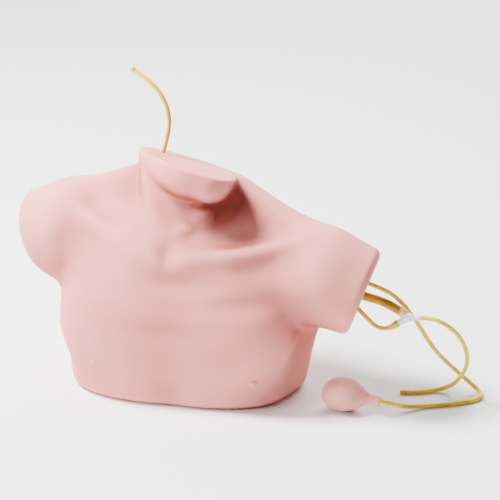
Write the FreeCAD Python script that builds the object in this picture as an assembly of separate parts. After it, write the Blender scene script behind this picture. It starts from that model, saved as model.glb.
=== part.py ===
import FreeCAD, Part
import math
import os

# Central venous access trainer: a soft moulded bust, cut at the mouth, the upper arms and the
# lower chest, with vein and artery tubes inside and a tube set hanging from its left arm stump.
# Millimetres. +X is the bust's own left, the front faces -Y, +Z is up, and Z = 0 is the chest cut.
# The form is written about the breastbone line; at the end every piece is moved by one shift so
# that the origin lies under the middle of the bust.

# The moulded skin and its rims
SKIN_WALL = 5.0
SOFT_GAP = 0.3
CHEST_RIM_ROUND = 11.0
ARM_RIM_ROUND = 9.0
NECK_RIM_ROUND = 2.5

# Chest: a squarish ellipsoid with two breast muscles in front and a back muscle at each side
CHEST_CENTRE = (-7.0, 0.0, 40.0)
CHEST_HALF_WIDTH = 132.0
CHEST_HALF_DEPTH = 77.0
CHEST_HALF_HEIGHT = 182.0
CHEST_TURN = 6.0
LEFT_BREAST = (58.0, -34.0, 90.0)
RIGHT_BREAST = (-60.0, -45.0, 86.0)
BREAST_HALF_WIDTH = 78.0
BREAST_HALF_DEPTH = 39.0
BREAST_HALF_HEIGHT = 64.0
BREAST_LEAN = 8.0
SQUARE_CHEST = 2.7
BACK_MUSCLE_LOW = 20.0
LEFT_BACK_FOOT = (96.0, 26.0, -44.0)
LEFT_BACK_TOP = (123.0, 24.0, 90.0)
LEFT_BACK_ROUND = 26.0
RIGHT_BACK_FOOT = (-109.0, 6.0, -44.0)
RIGHT_BACK_TOP = (-125.0, 4.0, 112.0)
RIGHT_BACK_ROUND = 28.0

# How squarish each rounded block is (2 is a plain ellipsoid) and how softly each form melts in
SQUARE_BREAST = 2.2
SQUARE_JAW = 2.5
SQUARE_CHIN = 2.2
ROUND = 2.0
BREAST_BLEND = 40.0
SHOULDER_BLEND = 50.0
ARM_BLEND = 20.0
LEFT_BACK_BLEND = 40.0
RIGHT_BACK_BLEND = 46.0
YOKE_BLEND = 45.0
NECK_BLEND = 34.0
CORD_BLEND = 16.0
CLAVICLE_BLEND = 14.0
VOICE_BOX_BLEND = 14.0
CHIN_BLEND = 16.0

# Shoulders and upper arms
COLLAR_ROUND = 42.0
SHOULDER_ROUND = 52.0
ARM_ROUND = 51.0
LEFT_COLLAR = (60.0, 14.0, 168.0)
LEFT_SHOULDER = (160.0, 6.0, 150.0)
LEFT_ELBOW = (262.0, 12.0, 114.0)
RIGHT_COLLAR = (-60.0, 14.0, 178.0)
RIGHT_SHOULDER = (-146.0, 6.0, 172.0)
RIGHT_ELBOW = (-250.0, 12.0, 146.0)
YOKE_ROUND_IN = 22.0
YOKE_ROUND_OUT = 19.0
LEFT_YOKE_NECK = (34.0, 34.0, 232.0)
LEFT_YOKE_ARM = (140.0, 20.0, 178.0)
RIGHT_YOKE_NECK = (-44.0, 34.0, 238.0)
RIGHT_YOKE_ARM = (-140.0, 20.0, 202.0)

# Neck, its two front muscles, the voice box and the collar bones
NECK_ROUND = 51.0
NECK_FOOT = (-8.0, 22.0, 196.0)
NECK_TOP = (-5.0, 20.0, 306.0)
CORD_MUSCLE_TOP_ROUND = 12.0
CORD_MUSCLE_FOOT_ROUND = 9.0
RIGHT_CORD_TOP = (-48.0, 6.0, 268.0)
RIGHT_CORD_FOOT = (-16.0, -48.0, 172.0)
LEFT_CORD_TOP = (36.0, 52.0, 256.0)
LEFT_CORD_FOOT = (8.0, -46.0, 170.0)
VOICE_BOX = (24.0, -24.0, 219.0)
VOICE_BOX_ROUND = 11.0
VOICE_BOX_HALF_HEIGHT = 14.0
CLAVICLE_ROUND = 8.0
RIGHT_CLAVICLE = ((-16.0, -52.0, 169.0), (-78.0, -46.0, 186.0), (-142.0, -10.0, 209.0))
LEFT_CLAVICLE = ((8.0, -52.0, 168.0), (70.0, -46.0, 180.0), (136.0, -12.0, 190.0))

# Jaw: the head is turned to the bust's left and leans back
JAW_CENTRE = (-3.0, 14.0, 270.0)
JAW_HALF_LENGTH = 69.0
JAW_HALF_WIDTH = 48.0
JAW_HALF_HEIGHT = 44.0
JAW_TURN = 48.0
JAW_LEAN = -14.0
JAW_TILT = 11.0
CHIN_CENTRE = (38.0, -28.0, 256.0)
CHIN_HALF_LENGTH = 17.0
CHIN_HALF_WIDTH = 20.0
CHIN_HALF_HEIGHT = 19.0

# Cuts: how far each arm cut is turned back and slopes, and how far out it lies. The arm cuts stop
# above the chest's side, which they would otherwise slice.
ARM_CUT_BACK = 4.9
ARM_CUT_SLOPE = 19.5
LEFT_ARM_CUT = 148.3
RIGHT_ARM_CUT = 121.0
ARM_CUT_FLOOR = 80.0
CHEST_SIDE = 160.0
CUT_REACH = 700.0
NECK_CUT_HEIGHT = 267.4
NECK_CUT_SIDE_FALL = 0.204
NECK_CUT_BACK_FALL = 0.290
CUT_SPARE = 1.0

# How finely the form is sampled for its control net
VIEW_POINT = (0.0, 5.0, 122.0)
ROWS = 60
COLUMNS = 108
JAW_ROWS = 26
JAW_COLUMNS = 44
RAY_START = 10.0
RAY_STEPS = 60
RAY_STEP_SHARE = 0.8
RAY_STEP_IN = 8.0
RAY_STEP_OUT = 16.0
RAY_TOLERANCE = 0.02
CENTRE_FLAT = 1e-3
PLANE_TOLERANCE = 0.01
BOX_TOLERANCE = 0.05

# Closing panel in the chest cut
PANEL_HALF_WIDTH = 98.0
PANEL_HALF_DEPTH = 42.0
PANEL_FLANGE = 9.0
PANEL_FLANGE_THICK = 3.0

# Tubes and the lined ports that they pass through
THIN_TUBE = 5.0
THIN_BORE = 3.0
THICK_TUBE = 10.0
THICK_BORE = 7.0
SLEEVE_WALL = 2.0
FIT_GAP = 0.15
PORT_STRAIGHT = 22.0
CORNER_SHARE = 0.45
END_SPARE = 3.0
END_CUT = 9.0
PLUG_LENGTH = 6.0
PLUG_ROUND = 1.5

# Joint of the inner veins, and the routes of the inner tubes between it and their far ends
HUB = (-14.0, -26.0, 146.0)
HUB_ROUND = 8.0
HUB_POCKET_ROUND = 14.5
HUB_POCKET_AXIS = (0.35, 1.0, 0.2)
JUGULAR = [(-18.5, -20.5, 157.0), (-29.0, -8.0, 182.0), (-37.0, 4.0, 203.0), (-41.0, 14.0, 222.0)]
JOINT_LENGTH = 10.0
SUBCLAVIAN = [
    (-25.0, -27.0, 148.5),
    (-55.0, -30.0, 155.0),
    (-92.0, -24.0, 163.0),
    (-126.0, -12.0, 169.0),
]
VEIN_LIMB = [
    (150.0, 0.0, 146.0),
    (105.0, -8.0, 150.0),
    (60.0, -17.0, 149.0),
    (22.0, -24.0, 148.0),
    (-2.0, -26.0, 146.4),
]
RETURN_LINE = [
    (150.0, 2.0, 113.0),
    (108.0, -3.0, 103.0),
    (66.0, -10.0, 100.0),
    (28.0, -18.0, 107.0),
    (2.0, -23.0, 122.0),
    (-8.0, -25.2, 136.0),
]
ARTERY = [
    (150.0, 6.0, 164.0),
    (105.0, 4.0, 168.0),
    (62.0, 0.0, 167.0),
    (24.0, -4.0, 164.0),
    (-6.0, 0.0, 172.0),
    (-20.0, 8.0, 192.0),
    (-27.0, 16.0, 214.0),
    (-29.0, 20.0, 234.0),
]

# Landmark bones, set under the ridges that show on the skin
BONE_ROUND = 5.5
BONE_DEPTH = (0.0, 12.0, -7.0)
STERNUM_TOP = (-5.0, -52.0, 154.0)
STERNUM_FOOT = (-3.0, -64.0, 60.0)
STERNUM_HALF_WIDTH = 14.0
STERNUM_OUTLINE = ((1.5, 0.0), (1.2, 0.28), (1.0, 0.36), (1.15, 0.86), (0.3, 1.0))
STERNUM_THICK = 8.0
STERNUM_CORNER = 2.5

# Squeeze bulb, lying on the table with its collar to the bust's left
BULB_ROUND = 20.5
BULB_LENGTH = 57.0
BULB_FATTEST = 0.40
BULB_NOSE_PULLS = (0.60, 0.42)
BULB_THROAT_PULLS = (0.50, 0.30)
BULB_COLLAR_ROUND = 5.5
BULB_COLLAR_LENGTH = 9.0
BULB_MOUTH_ROUND = 1.2
BULB_END_X = 165.0
BULB_END_Y = -17.0
BULB_DROOP = 5.0
REST_GAP = 0.1

# Y connector: its middle and the ends of its three legs
Y_CENTRE = (256.4, 0.0, 117.2)
Y_VEIN_END = (250.1, 0.0, 121.6)
Y_LINK_END = (246.3, 0.0, 108.0)
Y_LOOP_END = (267.9, 0.0, 117.2)
Y_BODY_ROUND = 3.8
Y_LEG_ROUND = 2.5
Y_THICK_LEG_ROUND = 5.0
Y_BORE = 1.5

# Ports, given by the place on their cut face, and the routes of the outer tubes
BULB_PORT_PLACE = (5.0, 148.5)
VEIN_PORT_PLACE = (5.0, 132.8)
LINK_PORT_PLACE = (5.0, 117.3)
NECK_PORT_PLACE = (-42.5, 36.0)
BULB_LINE = [
    (229.5, 6.0, 143.5),
    (247.0, 11.0, 129.0),
    (263.0, 20.0, 103.0),
    (280.5, 36.0, 64.0),
    (299.0, 54.0, 36.5),
    (314.0, 66.0, 17.5),
    (325.0, 70.0, 6.5),
    (332.5, 65.0, 2.7),
    (334.0, 55.5, 2.6),
    (329.5, 46.5, 2.6),
    (319.0, 37.5, 2.6),
    (300.0, 25.0, 2.6),
    (276.0, 13.5, 2.6),
    (258.0, 0.0, 5.5),
    (244.5, -11.5, 13.0),
]
VEIN_TUBE = [(222.6, 4.0, 130.8), (236.9, 2.0, 126.9)]
LINK_TUBE = [(209.6, 4.0, 107.1), (220.5, 2.5, 98.2), (234.7, 1.0, 97.8)]
LOOP_TUBE = [
    (281.6, 0.0, 118.9),
    (296.9, 3.0, 113.7),
    (311.8, 10.0, 99.4),
    (320.6, 22.0, 75.7),
    (319.1, 40.0, 47.4),
    (307.7, 54.0, 22.6),
    (300.0, 60.0, 11.5),
    (290.0, 61.5, 4.6),
    (278.5, 56.0, 2.6),
    (265.0, 47.0, 2.6),
    (253.6, 42.7, 2.6),
    (242.5, 39.9, 2.6),
]
NECK_TUBE = [
    (-38.5, 38.5, 283.0),
    (-37.4, 40.0, 303.5),
    (-43.8, 42.0, 324.8),
    (-61.1, 44.0, 345.5),
    (-82.8, 46.0, 358.9),
]


def add(a, b, scale=1.0):
    return (a[0] + b[0] * scale, a[1] + b[1] * scale, a[2] + b[2] * scale)


def length(a):
    return math.sqrt(a[0] * a[0] + a[1] * a[1] + a[2] * a[2])


def unit(a):
    return add((0.0, 0.0, 0.0), a, 1.0 / length(a))


def turn_matrix(turn, lean=0.0, tilt=0.0):
    """Rows that carry a point into the axes of a form turned about Z, then tilted, then leaned."""
    rotation = FreeCAD.Rotation(FreeCAD.Vector(1, 0, 0), lean)
    rotation = rotation.multiply(FreeCAD.Rotation(FreeCAD.Vector(0, 1, 0), tilt))
    rotation = rotation.multiply(FreeCAD.Rotation(FreeCAD.Vector(0, 0, 1), turn))
    axes = [rotation.multVec(FreeCAD.Vector(*axis)) for axis in ((1, 0, 0), (0, 1, 0), (0, 0, 1))]
    return [(axis.x, axis.y, axis.z) for axis in axes]


def ball(centre, half_sizes, power, rows):
    """Distance-like function of a rounded block: an ellipsoid whose power squares its shoulders."""
    cx, cy, cz = centre
    (ax, ay, az), (bx, by, bz), (dx, dy, dz) = rows
    rx, ry, rz = half_sizes
    less = power - 1.0

    def gap(x, y, z):
        x, y, z = x - cx, y - cy, z - cz
        u = abs(ax * x + ay * y + az * z) / rx
        v = abs(bx * x + by * y + bz * z) / ry
        w = abs(dx * x + dy * y + dz * z) / rz
        k = (u**power + v**power + w**power) ** (1.0 / power)
        if k < CENTRE_FLAT:
            return -min(half_sizes)
        slope = math.sqrt((u**less / rx) ** 2 + (v**less / ry) ** 2 + (w**less / rz) ** 2) / k**less
        return (k - 1.0) / slope

    return gap


def limb(start, end, start_round, end_round):
    """Distance function of a tapered round limb between two points."""
    sx, sy, sz = start
    ex, ey, ez = end[0] - sx, end[1] - sy, end[2] - sz
    square = ex * ex + ey * ey + ez * ez
    growth = end_round - start_round

    def gap(x, y, z):
        x, y, z = x - sx, y - sy, z - sz
        h = (x * ex + y * ey + z * ez) / square
        h = 0.0 if h < 0.0 else 1.0 if h > 1.0 else h
        x, y, z = x - h * ex, y - h * ey, z - h * ez
        return math.sqrt(x * x + y * y + z * z) - start_round - growth * h

    return gap


def joined(forms):
    """One function from (form, blend) pairs: each form melts into those before it."""
    first = forms[0][0]
    rest = forms[1:]

    def gap(x, y, z):
        d = first(x, y, z)
        for form, blend in rest:
            e = form(x, y, z)
            h = blend - abs(d - e)
            d = e if e < d else d
            if h > 0.0:
                d -= h * h * h / (blend * blend * 6.0)
        return d

    return gap


LEVEL = turn_matrix(0.0)
CHEST_AXES = turn_matrix(CHEST_TURN)
CHEST_SIZES = (CHEST_HALF_WIDTH, CHEST_HALF_DEPTH, CHEST_HALF_HEIGHT)
BREAST_SIZES = (BREAST_HALF_WIDTH, BREAST_HALF_DEPTH, BREAST_HALF_HEIGHT)
LEFT_BREAST_AXES = turn_matrix(0.0, 0.0, -BREAST_LEAN)
RIGHT_BREAST_AXES = turn_matrix(0.0, 0.0, BREAST_LEAN)
CORD_ROUNDS = (CORD_MUSCLE_TOP_ROUND, CORD_MUSCLE_FOOT_ROUND)
VOICE_BOX_SIZES = (VOICE_BOX_ROUND, VOICE_BOX_ROUND, VOICE_BOX_HALF_HEIGHT)
JAW_SIZES = (JAW_HALF_WIDTH, JAW_HALF_LENGTH, JAW_HALF_HEIGHT)
JAW_AXES = turn_matrix(JAW_TURN, JAW_LEAN, JAW_TILT)
CHIN_SIZES = (CHIN_HALF_WIDTH, CHIN_HALF_LENGTH, CHIN_HALF_HEIGHT)
CHIN_AXES = turn_matrix(JAW_TURN)

TRUNK_FORMS = [
    (ball(CHEST_CENTRE, CHEST_SIZES, SQUARE_CHEST, CHEST_AXES), 0.0),
    (ball(LEFT_BREAST, BREAST_SIZES, SQUARE_BREAST, LEFT_BREAST_AXES), BREAST_BLEND),
    (ball(RIGHT_BREAST, BREAST_SIZES, SQUARE_BREAST, RIGHT_BREAST_AXES), BREAST_BLEND),
    (limb(LEFT_COLLAR, LEFT_SHOULDER, COLLAR_ROUND, SHOULDER_ROUND), SHOULDER_BLEND),
    (limb(RIGHT_COLLAR, RIGHT_SHOULDER, COLLAR_ROUND, SHOULDER_ROUND), SHOULDER_BLEND),
    (limb(LEFT_SHOULDER, LEFT_ELBOW, SHOULDER_ROUND, ARM_ROUND), ARM_BLEND),
    (limb(RIGHT_SHOULDER, RIGHT_ELBOW, SHOULDER_ROUND, ARM_ROUND), ARM_BLEND),
    (limb(LEFT_BACK_FOOT, LEFT_BACK_TOP, BACK_MUSCLE_LOW, LEFT_BACK_ROUND), LEFT_BACK_BLEND),
    (limb(RIGHT_BACK_FOOT, RIGHT_BACK_TOP, BACK_MUSCLE_LOW, RIGHT_BACK_ROUND), RIGHT_BACK_BLEND),
    (limb(LEFT_YOKE_NECK, LEFT_YOKE_ARM, YOKE_ROUND_IN, YOKE_ROUND_OUT), YOKE_BLEND),
    (limb(RIGHT_YOKE_NECK, RIGHT_YOKE_ARM, YOKE_ROUND_IN, YOKE_ROUND_OUT), YOKE_BLEND),
]
NECK_FORMS = [
    (limb(NECK_FOOT, NECK_TOP, NECK_ROUND, NECK_ROUND), NECK_BLEND),
    (limb(RIGHT_CORD_TOP, RIGHT_CORD_FOOT, *CORD_ROUNDS), CORD_BLEND),
    (limb(LEFT_CORD_TOP, LEFT_CORD_FOOT, *CORD_ROUNDS), CORD_BLEND),
]
for bone in (RIGHT_CLAVICLE, LEFT_CLAVICLE):
    for inner_end, outer_end in zip(bone, bone[1:]):
        ridge_form = limb(inner_end, outer_end, CLAVICLE_ROUND, CLAVICLE_ROUND)
        NECK_FORMS.append((ridge_form, CLAVICLE_BLEND))
NECK_FORMS.append((ball(VOICE_BOX, VOICE_BOX_SIZES, ROUND, LEVEL), VOICE_BOX_BLEND))
BUST = joined(TRUNK_FORMS + NECK_FORMS)
JAW = joined(
    [
        (ball(JAW_CENTRE, JAW_SIZES, SQUARE_JAW, JAW_AXES), 0.0),
        (ball(CHIN_CENTRE, CHIN_SIZES, SQUARE_CHIN, CHIN_AXES), CHIN_BLEND),
    ]
)


def reach(form, start, direction, depth, radius):
    """Distance from start along direction to where the form is depth below its surface."""
    for _ in range(RAY_STEPS):
        point = add(start, direction, radius)
        miss = form(*point) + depth
        if abs(miss) < RAY_TOLERANCE:
            break
        radius += max(-RAY_STEP_IN, min(RAY_STEP_OUT, -RAY_STEP_SHARE * miss))
    return radius


def nets(form, centre, rows, columns, depths):
    """Control nets, one for each depth below the form's surface, from rays about a centre."""
    found = [[] for _ in depths]
    for row in range(rows + 1):
        rise = math.pi * (row / rows - 0.5)
        rings = [[] for _ in depths]
        for column in range(columns):
            swing = 2.0 * math.pi * column / columns + math.pi / 2.0
            flat = math.cos(rise)
            direction = (flat * math.cos(swing), flat * math.sin(swing), math.sin(rise))
            radius = RAY_START
            for ring, depth in zip(rings, depths):
                radius = reach(form, centre, direction, depth, radius)
                ring.append(FreeCAD.Vector(*add(centre, direction, radius)))
        for net, ring in zip(found, rings):
            net.append(ring)
    return found


def closed_solid(net):
    """Solid inside one smooth surface that is closed round its rings and shut at both poles."""
    rows = len(net)
    columns = len(net[0])
    poles = [[net[row][column] for row in range(rows)] for column in range(columns)]
    surface = Part.BSplineSurface()
    round_knots = [float(k) for k in range(columns + 1)]
    round_turns = [1] * (columns + 1)
    high_knots = [float(k) for k in range(rows - 2)]
    high_turns = [4] + [1] * (rows - 4) + [4]
    surface.buildFromPolesMultsKnots(
        poles, round_turns, high_turns, round_knots, high_knots, True, False, 3, 3
    )
    solid = Part.Solid(Part.Shell([surface.toShape()]))
    if solid.Volume < 0.0:
        solid.reverse()
    return solid


def beyond(normal, offset):
    """A large block that fills everything beyond a plane."""
    size = CUT_REACH
    normal = FreeCAD.Vector(*normal)
    block = Part.makeBox(2.0 * size, 2.0 * size, size, FreeCAD.Vector(-size, -size, 0.0))
    turn = FreeCAD.Rotation(FreeCAD.Vector(0, 0, 1), normal)
    block.Placement = FreeCAD.Placement(normal * offset, turn)
    return block


def arm_normal(side):
    back = math.radians(ARM_CUT_BACK)
    slope = math.radians(ARM_CUT_SLOPE)
    flat = math.cos(slope)
    return (side * math.cos(back) * flat, math.sin(back) * flat, -math.sin(slope))


NECK_NORMAL = unit((NECK_CUT_SIDE_FALL, NECK_CUT_BACK_FALL, 1.0))
NECK_OFFSET = NECK_CUT_HEIGHT * NECK_NORMAL[2]
LEFT_NORMAL = arm_normal(1.0)
RIGHT_NORMAL = arm_normal(-1.0)
DOWN = (0.0, 0.0, -1.0)


def arm_block(normal, offset):
    """What an arm cut takes away: all beyond its plane, but nothing of the chest's side."""
    corner = FreeCAD.Vector(-CHEST_SIDE, -CUT_REACH, -CUT_REACH)
    side = Part.makeBox(2.0 * CHEST_SIDE, 2.0 * CUT_REACH, CUT_REACH + ARM_CUT_FLOOR, corner)
    return beyond(normal, offset).cut(side)


def trimmed(solid, inset, floor):
    """The solid without its head, arm ends and foot; inset moves the cuts inward."""
    solid = solid.cut(arm_block(LEFT_NORMAL, LEFT_ARM_CUT - inset))
    solid = solid.cut(arm_block(RIGHT_NORMAL, RIGHT_ARM_CUT - inset))
    solid = solid.cut(beyond(DOWN, -floor))
    return solid.cut(beyond(NECK_NORMAL, NECK_OFFSET - inset)).Solids[0]


def rim_edges(solid, normal, offset):
    """Edges of the solid that lie wholly in one cut plane."""
    plane = FreeCAD.Vector(*normal)
    found = []
    for edge in solid.Edges:
        ends = (edge.FirstParameter, edge.LastParameter)
        spots = [edge.valueAt(v) for v in (ends[0], ends[1], 0.5 * (ends[0] + ends[1]))]
        if all(abs(spot.dot(plane) - offset) < PLANE_TOLERANCE for spot in spots):
            found.append(edge)
    return found


def rounded_rims(solid):
    """The trimmed bust with its chest, arm and neck rims rounded over."""
    for normal, offset, radius in (
        (LEFT_NORMAL, LEFT_ARM_CUT, ARM_RIM_ROUND),
        (RIGHT_NORMAL, RIGHT_ARM_CUT, ARM_RIM_ROUND),
        (DOWN, 0.0, CHEST_RIM_ROUND),
        (NECK_NORMAL, NECK_OFFSET, NECK_RIM_ROUND),
    ):
        solid = solid.makeFillet(radius, rim_edges(solid, normal, offset)).Solids[0]
    return solid


def panel_plate(grow, low, high):
    """Oval plate about the chest's middle, grown past the panel's own outline."""
    centre = FreeCAD.Vector(CHEST_CENTRE[0], CHEST_CENTRE[1], low)
    oval = Part.Ellipse(centre, PANEL_HALF_WIDTH + grow, PANEL_HALF_DEPTH + grow)
    face = Part.Face(Part.Wire(oval.toShape()))
    plate = face.extrude(FreeCAD.Vector(0.0, 0.0, high - low))
    plate.rotate(centre, FreeCAD.Vector(0, 0, 1), -CHEST_TURN)
    return plate


def base_panel():
    """Hard panel snapped into the chest cut: a plug in the opening and a flange above the lip."""
    plug = panel_plate(-SOFT_GAP, 0.0, SKIN_WALL)
    flange = panel_plate(PANEL_FLANGE, SKIN_WALL, SKIN_WALL + PANEL_FLANGE_THICK)
    return plug.fuse(flange).removeSplitter()


def rod(start, end, radius):
    """Round bar between two points."""
    along = FreeCAD.Vector(*end) - FreeCAD.Vector(*start)
    return Part.makeCylinder(radius, along.Length, FreeCAD.Vector(*start), along)


def path(points, name):
    """Wire of straight runs joined by tangent arcs, each as large as its two runs allow."""
    spots = [FreeCAD.Vector(*point) for point in points]
    edges = []
    radii = []
    start = spots[0]
    for before, corner, after in zip(spots, spots[1:], spots[2:]):
        back = before - corner
        ahead = after - corner
        half_turn = 0.5 * (math.pi - back.getAngle(ahead))
        cut_back = CORNER_SHARE * min(back.Length, ahead.Length)
        radius = cut_back / math.tan(half_turn)
        radii.append(round(radius, 1))
        back.normalize()
        ahead.normalize()
        first = corner + back * cut_back
        last = corner + ahead * cut_back
        bisector = (back + ahead).normalize()
        middle = corner + bisector * (radius / math.cos(half_turn) - radius)
        edges.append(Part.LineSegment(start, first).toShape())
        edges.append(Part.Arc(first, middle, last).toShape())
        start = last
    edges.append(Part.LineSegment(start, spots[-1]).toShape())
    wire = Part.Wire(edges)
    print(name, "length", round(wire.Length, 1), "radii", radii)
    return wire


def bar_along(wire, diameter):
    """Solid round bar along a path."""
    start = wire.Edges[0].valueAt(wire.Edges[0].FirstParameter)
    along = wire.Edges[0].tangentAt(wire.Edges[0].FirstParameter)
    ring = Part.Wire(Part.makeCircle(0.5 * diameter, start, along))
    bar = wire.makePipeShell([ring], True, True)
    ideal = wire.Length * math.pi * (0.5 * diameter) ** 2
    print("   volume over section times length", round(bar.Volume / ideal, 4))
    return bar


def lengthened(points, faces):
    """The route with a little spare at each end that is to be squared against a neighbour."""
    spots = list(points)
    if faces[0]:
        spots[0] = add(points[0], unit(add(points[0], points[1], -1.0)), END_SPARE)
    if faces[1]:
        spots[-1] = add(points[-1], unit(add(points[-1], points[-2], -1.0)), END_SPARE)
    return spots


def tube(points, diameter, bore, name, faces):
    """Tube along a route, each named end cut to the face that it meets. A bore of 0 leaves it solid."""
    wire = path(lengthened(points, faces), name)
    hose = bar_along(wire, diameter)
    if bore:
        hose = hose.cut(bar_along(wire, bore))
    for spot, away in zip((points[0], points[-1]), faces):
        if away:
            hose = hose.cut(rod(spot, add(spot, away, END_CUT), diameter))
    return hose.Solids[0]


def on_arm_cut(place):
    """Point of the left arm's cut face at a given Y and Z."""
    y, z = place
    return ((LEFT_ARM_CUT - LEFT_NORMAL[1] * y - LEFT_NORMAL[2] * z) / LEFT_NORMAL[0], y, z)


def on_neck_cut(place):
    """Point of the neck's cut face at a given X and Y."""
    x, y = place
    return (x, y, (NECK_OFFSET - NECK_NORMAL[0] * x - NECK_NORMAL[1] * y) / NECK_NORMAL[2])


BULB_PORT = (on_arm_cut(BULB_PORT_PLACE), LEFT_NORMAL, THIN_TUBE)
VEIN_PORT = (on_arm_cut(VEIN_PORT_PLACE), LEFT_NORMAL, THICK_TUBE)
LINK_PORT = (on_arm_cut(LINK_PORT_PLACE), LEFT_NORMAL, THIN_TUBE)
NECK_PORT = (on_neck_cut(NECK_PORT_PLACE), NECK_NORMAL, THIN_TUBE)


def port_rod(port, radius, inward, outward=0.0):
    """Round bar through the skin at a port, square to the cut face."""
    spot, normal, _ = port
    return rod(add(spot, normal, -inward), add(spot, normal, outward), radius)


def sleeve(port):
    """Short ring that lines a port through the skin, flush with both of its faces."""
    tube = 0.5 * port[2]
    ring = port_rod(port, tube + SLEEVE_WALL, SKIN_WALL)
    return ring.cut(port_rod(port, tube + FIT_GAP, SKIN_WALL + CUT_SPARE, CUT_SPARE))


def inward(port):
    """The first two points of an inner tube: at its port's outer face, then straight in."""
    spot, normal, _ = port
    return [spot, add(spot, normal, -PORT_STRAIGHT)]


def vein_hub():
    """Moulded joint of the inner veins: a ball with a bored leg to the end of each tube."""
    legs = (
        (VEIN_LIMB[-1], THICK_TUBE, THICK_BORE),
        (JUGULAR[0], THICK_TUBE, THICK_BORE),
        (SUBCLAVIAN[0], THICK_TUBE, THICK_BORE),
        (RETURN_LINE[-1], THIN_TUBE, THIN_BORE),
    )
    hub = Part.makeSphere(HUB_ROUND, FreeCAD.Vector(*HUB))
    for end, diameter, _ in legs:
        hub = hub.fuse(rod(HUB, end, 0.5 * diameter))
    for end, _, bore in legs:
        hub = hub.cut(rod(HUB, end, 0.5 * bore))
    return hub


def hub_pocket():
    """Round room for the joint of the veins, its seam turned to where no tube crosses it."""
    axis = FreeCAD.Vector(*HUB_POCKET_AXIS)
    return Part.makeSphere(HUB_POCKET_ROUND, FreeCAD.Vector(*HUB), axis)


JUGULAR_WAY = unit(add(JUGULAR[-1], JUGULAR[-2], -1.0))
JOINT_END = add(JUGULAR[-1], JUGULAR_WAY, JOINT_LENGTH)


def neck_joint():
    """Tapered joint from the thick jugular tube to the thin tube that leaves at the neck."""
    along = FreeCAD.Vector(*JUGULAR_WAY)
    base = FreeCAD.Vector(*JUGULAR[-1])
    outer = Part.makeCone(0.5 * THICK_TUBE, 0.5 * THIN_TUBE, JOINT_LENGTH, base, along)
    inner = Part.makeCone(0.5 * THICK_BORE, 0.5 * THIN_BORE, JOINT_LENGTH, base, along)
    return outer.cut(inner)


def end_plug(route, diameter):
    """Stopper with a rounded nose that closes a blind tube, face to face with its end."""
    along = unit(add(route[-1], route[-2], -1.0))
    nose = add(route[-1], along, PLUG_LENGTH)
    stop = rod(route[-1], nose, 0.5 * diameter)
    face = FreeCAD.Vector(*along).dot(FreeCAD.Vector(*nose))
    return stop.makeFillet(PLUG_ROUND, rim_edges(stop, along, face))


def plug_pocket(route, diameter):
    along = unit(add(route[-1], route[-2], -1.0))
    return rod(route[-1], add(route[-1], along, PLUG_LENGTH + SOFT_GAP), 0.5 * diameter + SOFT_GAP)


def clavicle(ridge, grow=0.0):
    """Collar bone: a bowed bar with round ends under the ridge that shows on the skin."""
    deep = [add(point, BONE_DEPTH) for point in ridge]
    radius = BONE_ROUND + grow
    bone = bar_along(path(deep, "collar bone"), 2.0 * radius)
    for tip in (deep[0], deep[-1]):
        bone = bone.fuse(Part.makeSphere(radius, FreeCAD.Vector(*tip)))
    return bone


def sternum(grow=0.0):
    """Breastbone: a flat bar with a wide head and a pointed foot, under the middle of the chest."""
    top = FreeCAD.Vector(*STERNUM_TOP)
    foot = FreeCAD.Vector(*STERNUM_FOOT)
    fall = (foot - top).Length
    half = [(STERNUM_HALF_WIDTH * across, fall * down) for across, down in STERNUM_OUTLINE]
    ring = [FreeCAD.Vector(x, -z, 0.0) for x, z in half + [(-x, z) for x, z in reversed(half)]]
    plate = Part.Face(Part.makePolygon(ring + ring[:1]))
    plate = plate.extrude(FreeCAD.Vector(0.0, 0.0, STERNUM_THICK))
    down = foot - top
    tilt = math.degrees(math.atan2(down.y, -down.z))
    stand = FreeCAD.Rotation(FreeCAD.Vector(1, 0, 0), 90.0 + tilt)
    plate.Placement = FreeCAD.Placement(top + FreeCAD.Vector(0.0, STERNUM_THICK, 0.0), stand)
    if grow:
        return plate.makeOffsetShape(grow, PLANE_TOLERANCE, join=2)
    sides = [edge for edge in plate.Edges if abs(edge.Length - STERNUM_THICK) < PLANE_TOLERANCE]
    return plate.makeFillet(STERNUM_CORNER, sides)


BULB_AXIS = (math.cos(math.radians(BULB_DROOP)), 0.0, -math.sin(math.radians(BULB_DROOP)))
BULB_END_Z = BULB_ROUND + REST_GAP - BULB_FATTEST * BULB_LENGTH * BULB_AXIS[2]
BULB_END = (BULB_END_X, BULB_END_Y, BULB_END_Z)
BULB_MOUTH = add(BULB_END, BULB_AXIS, BULB_LENGTH + BULB_COLLAR_LENGTH)


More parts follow.
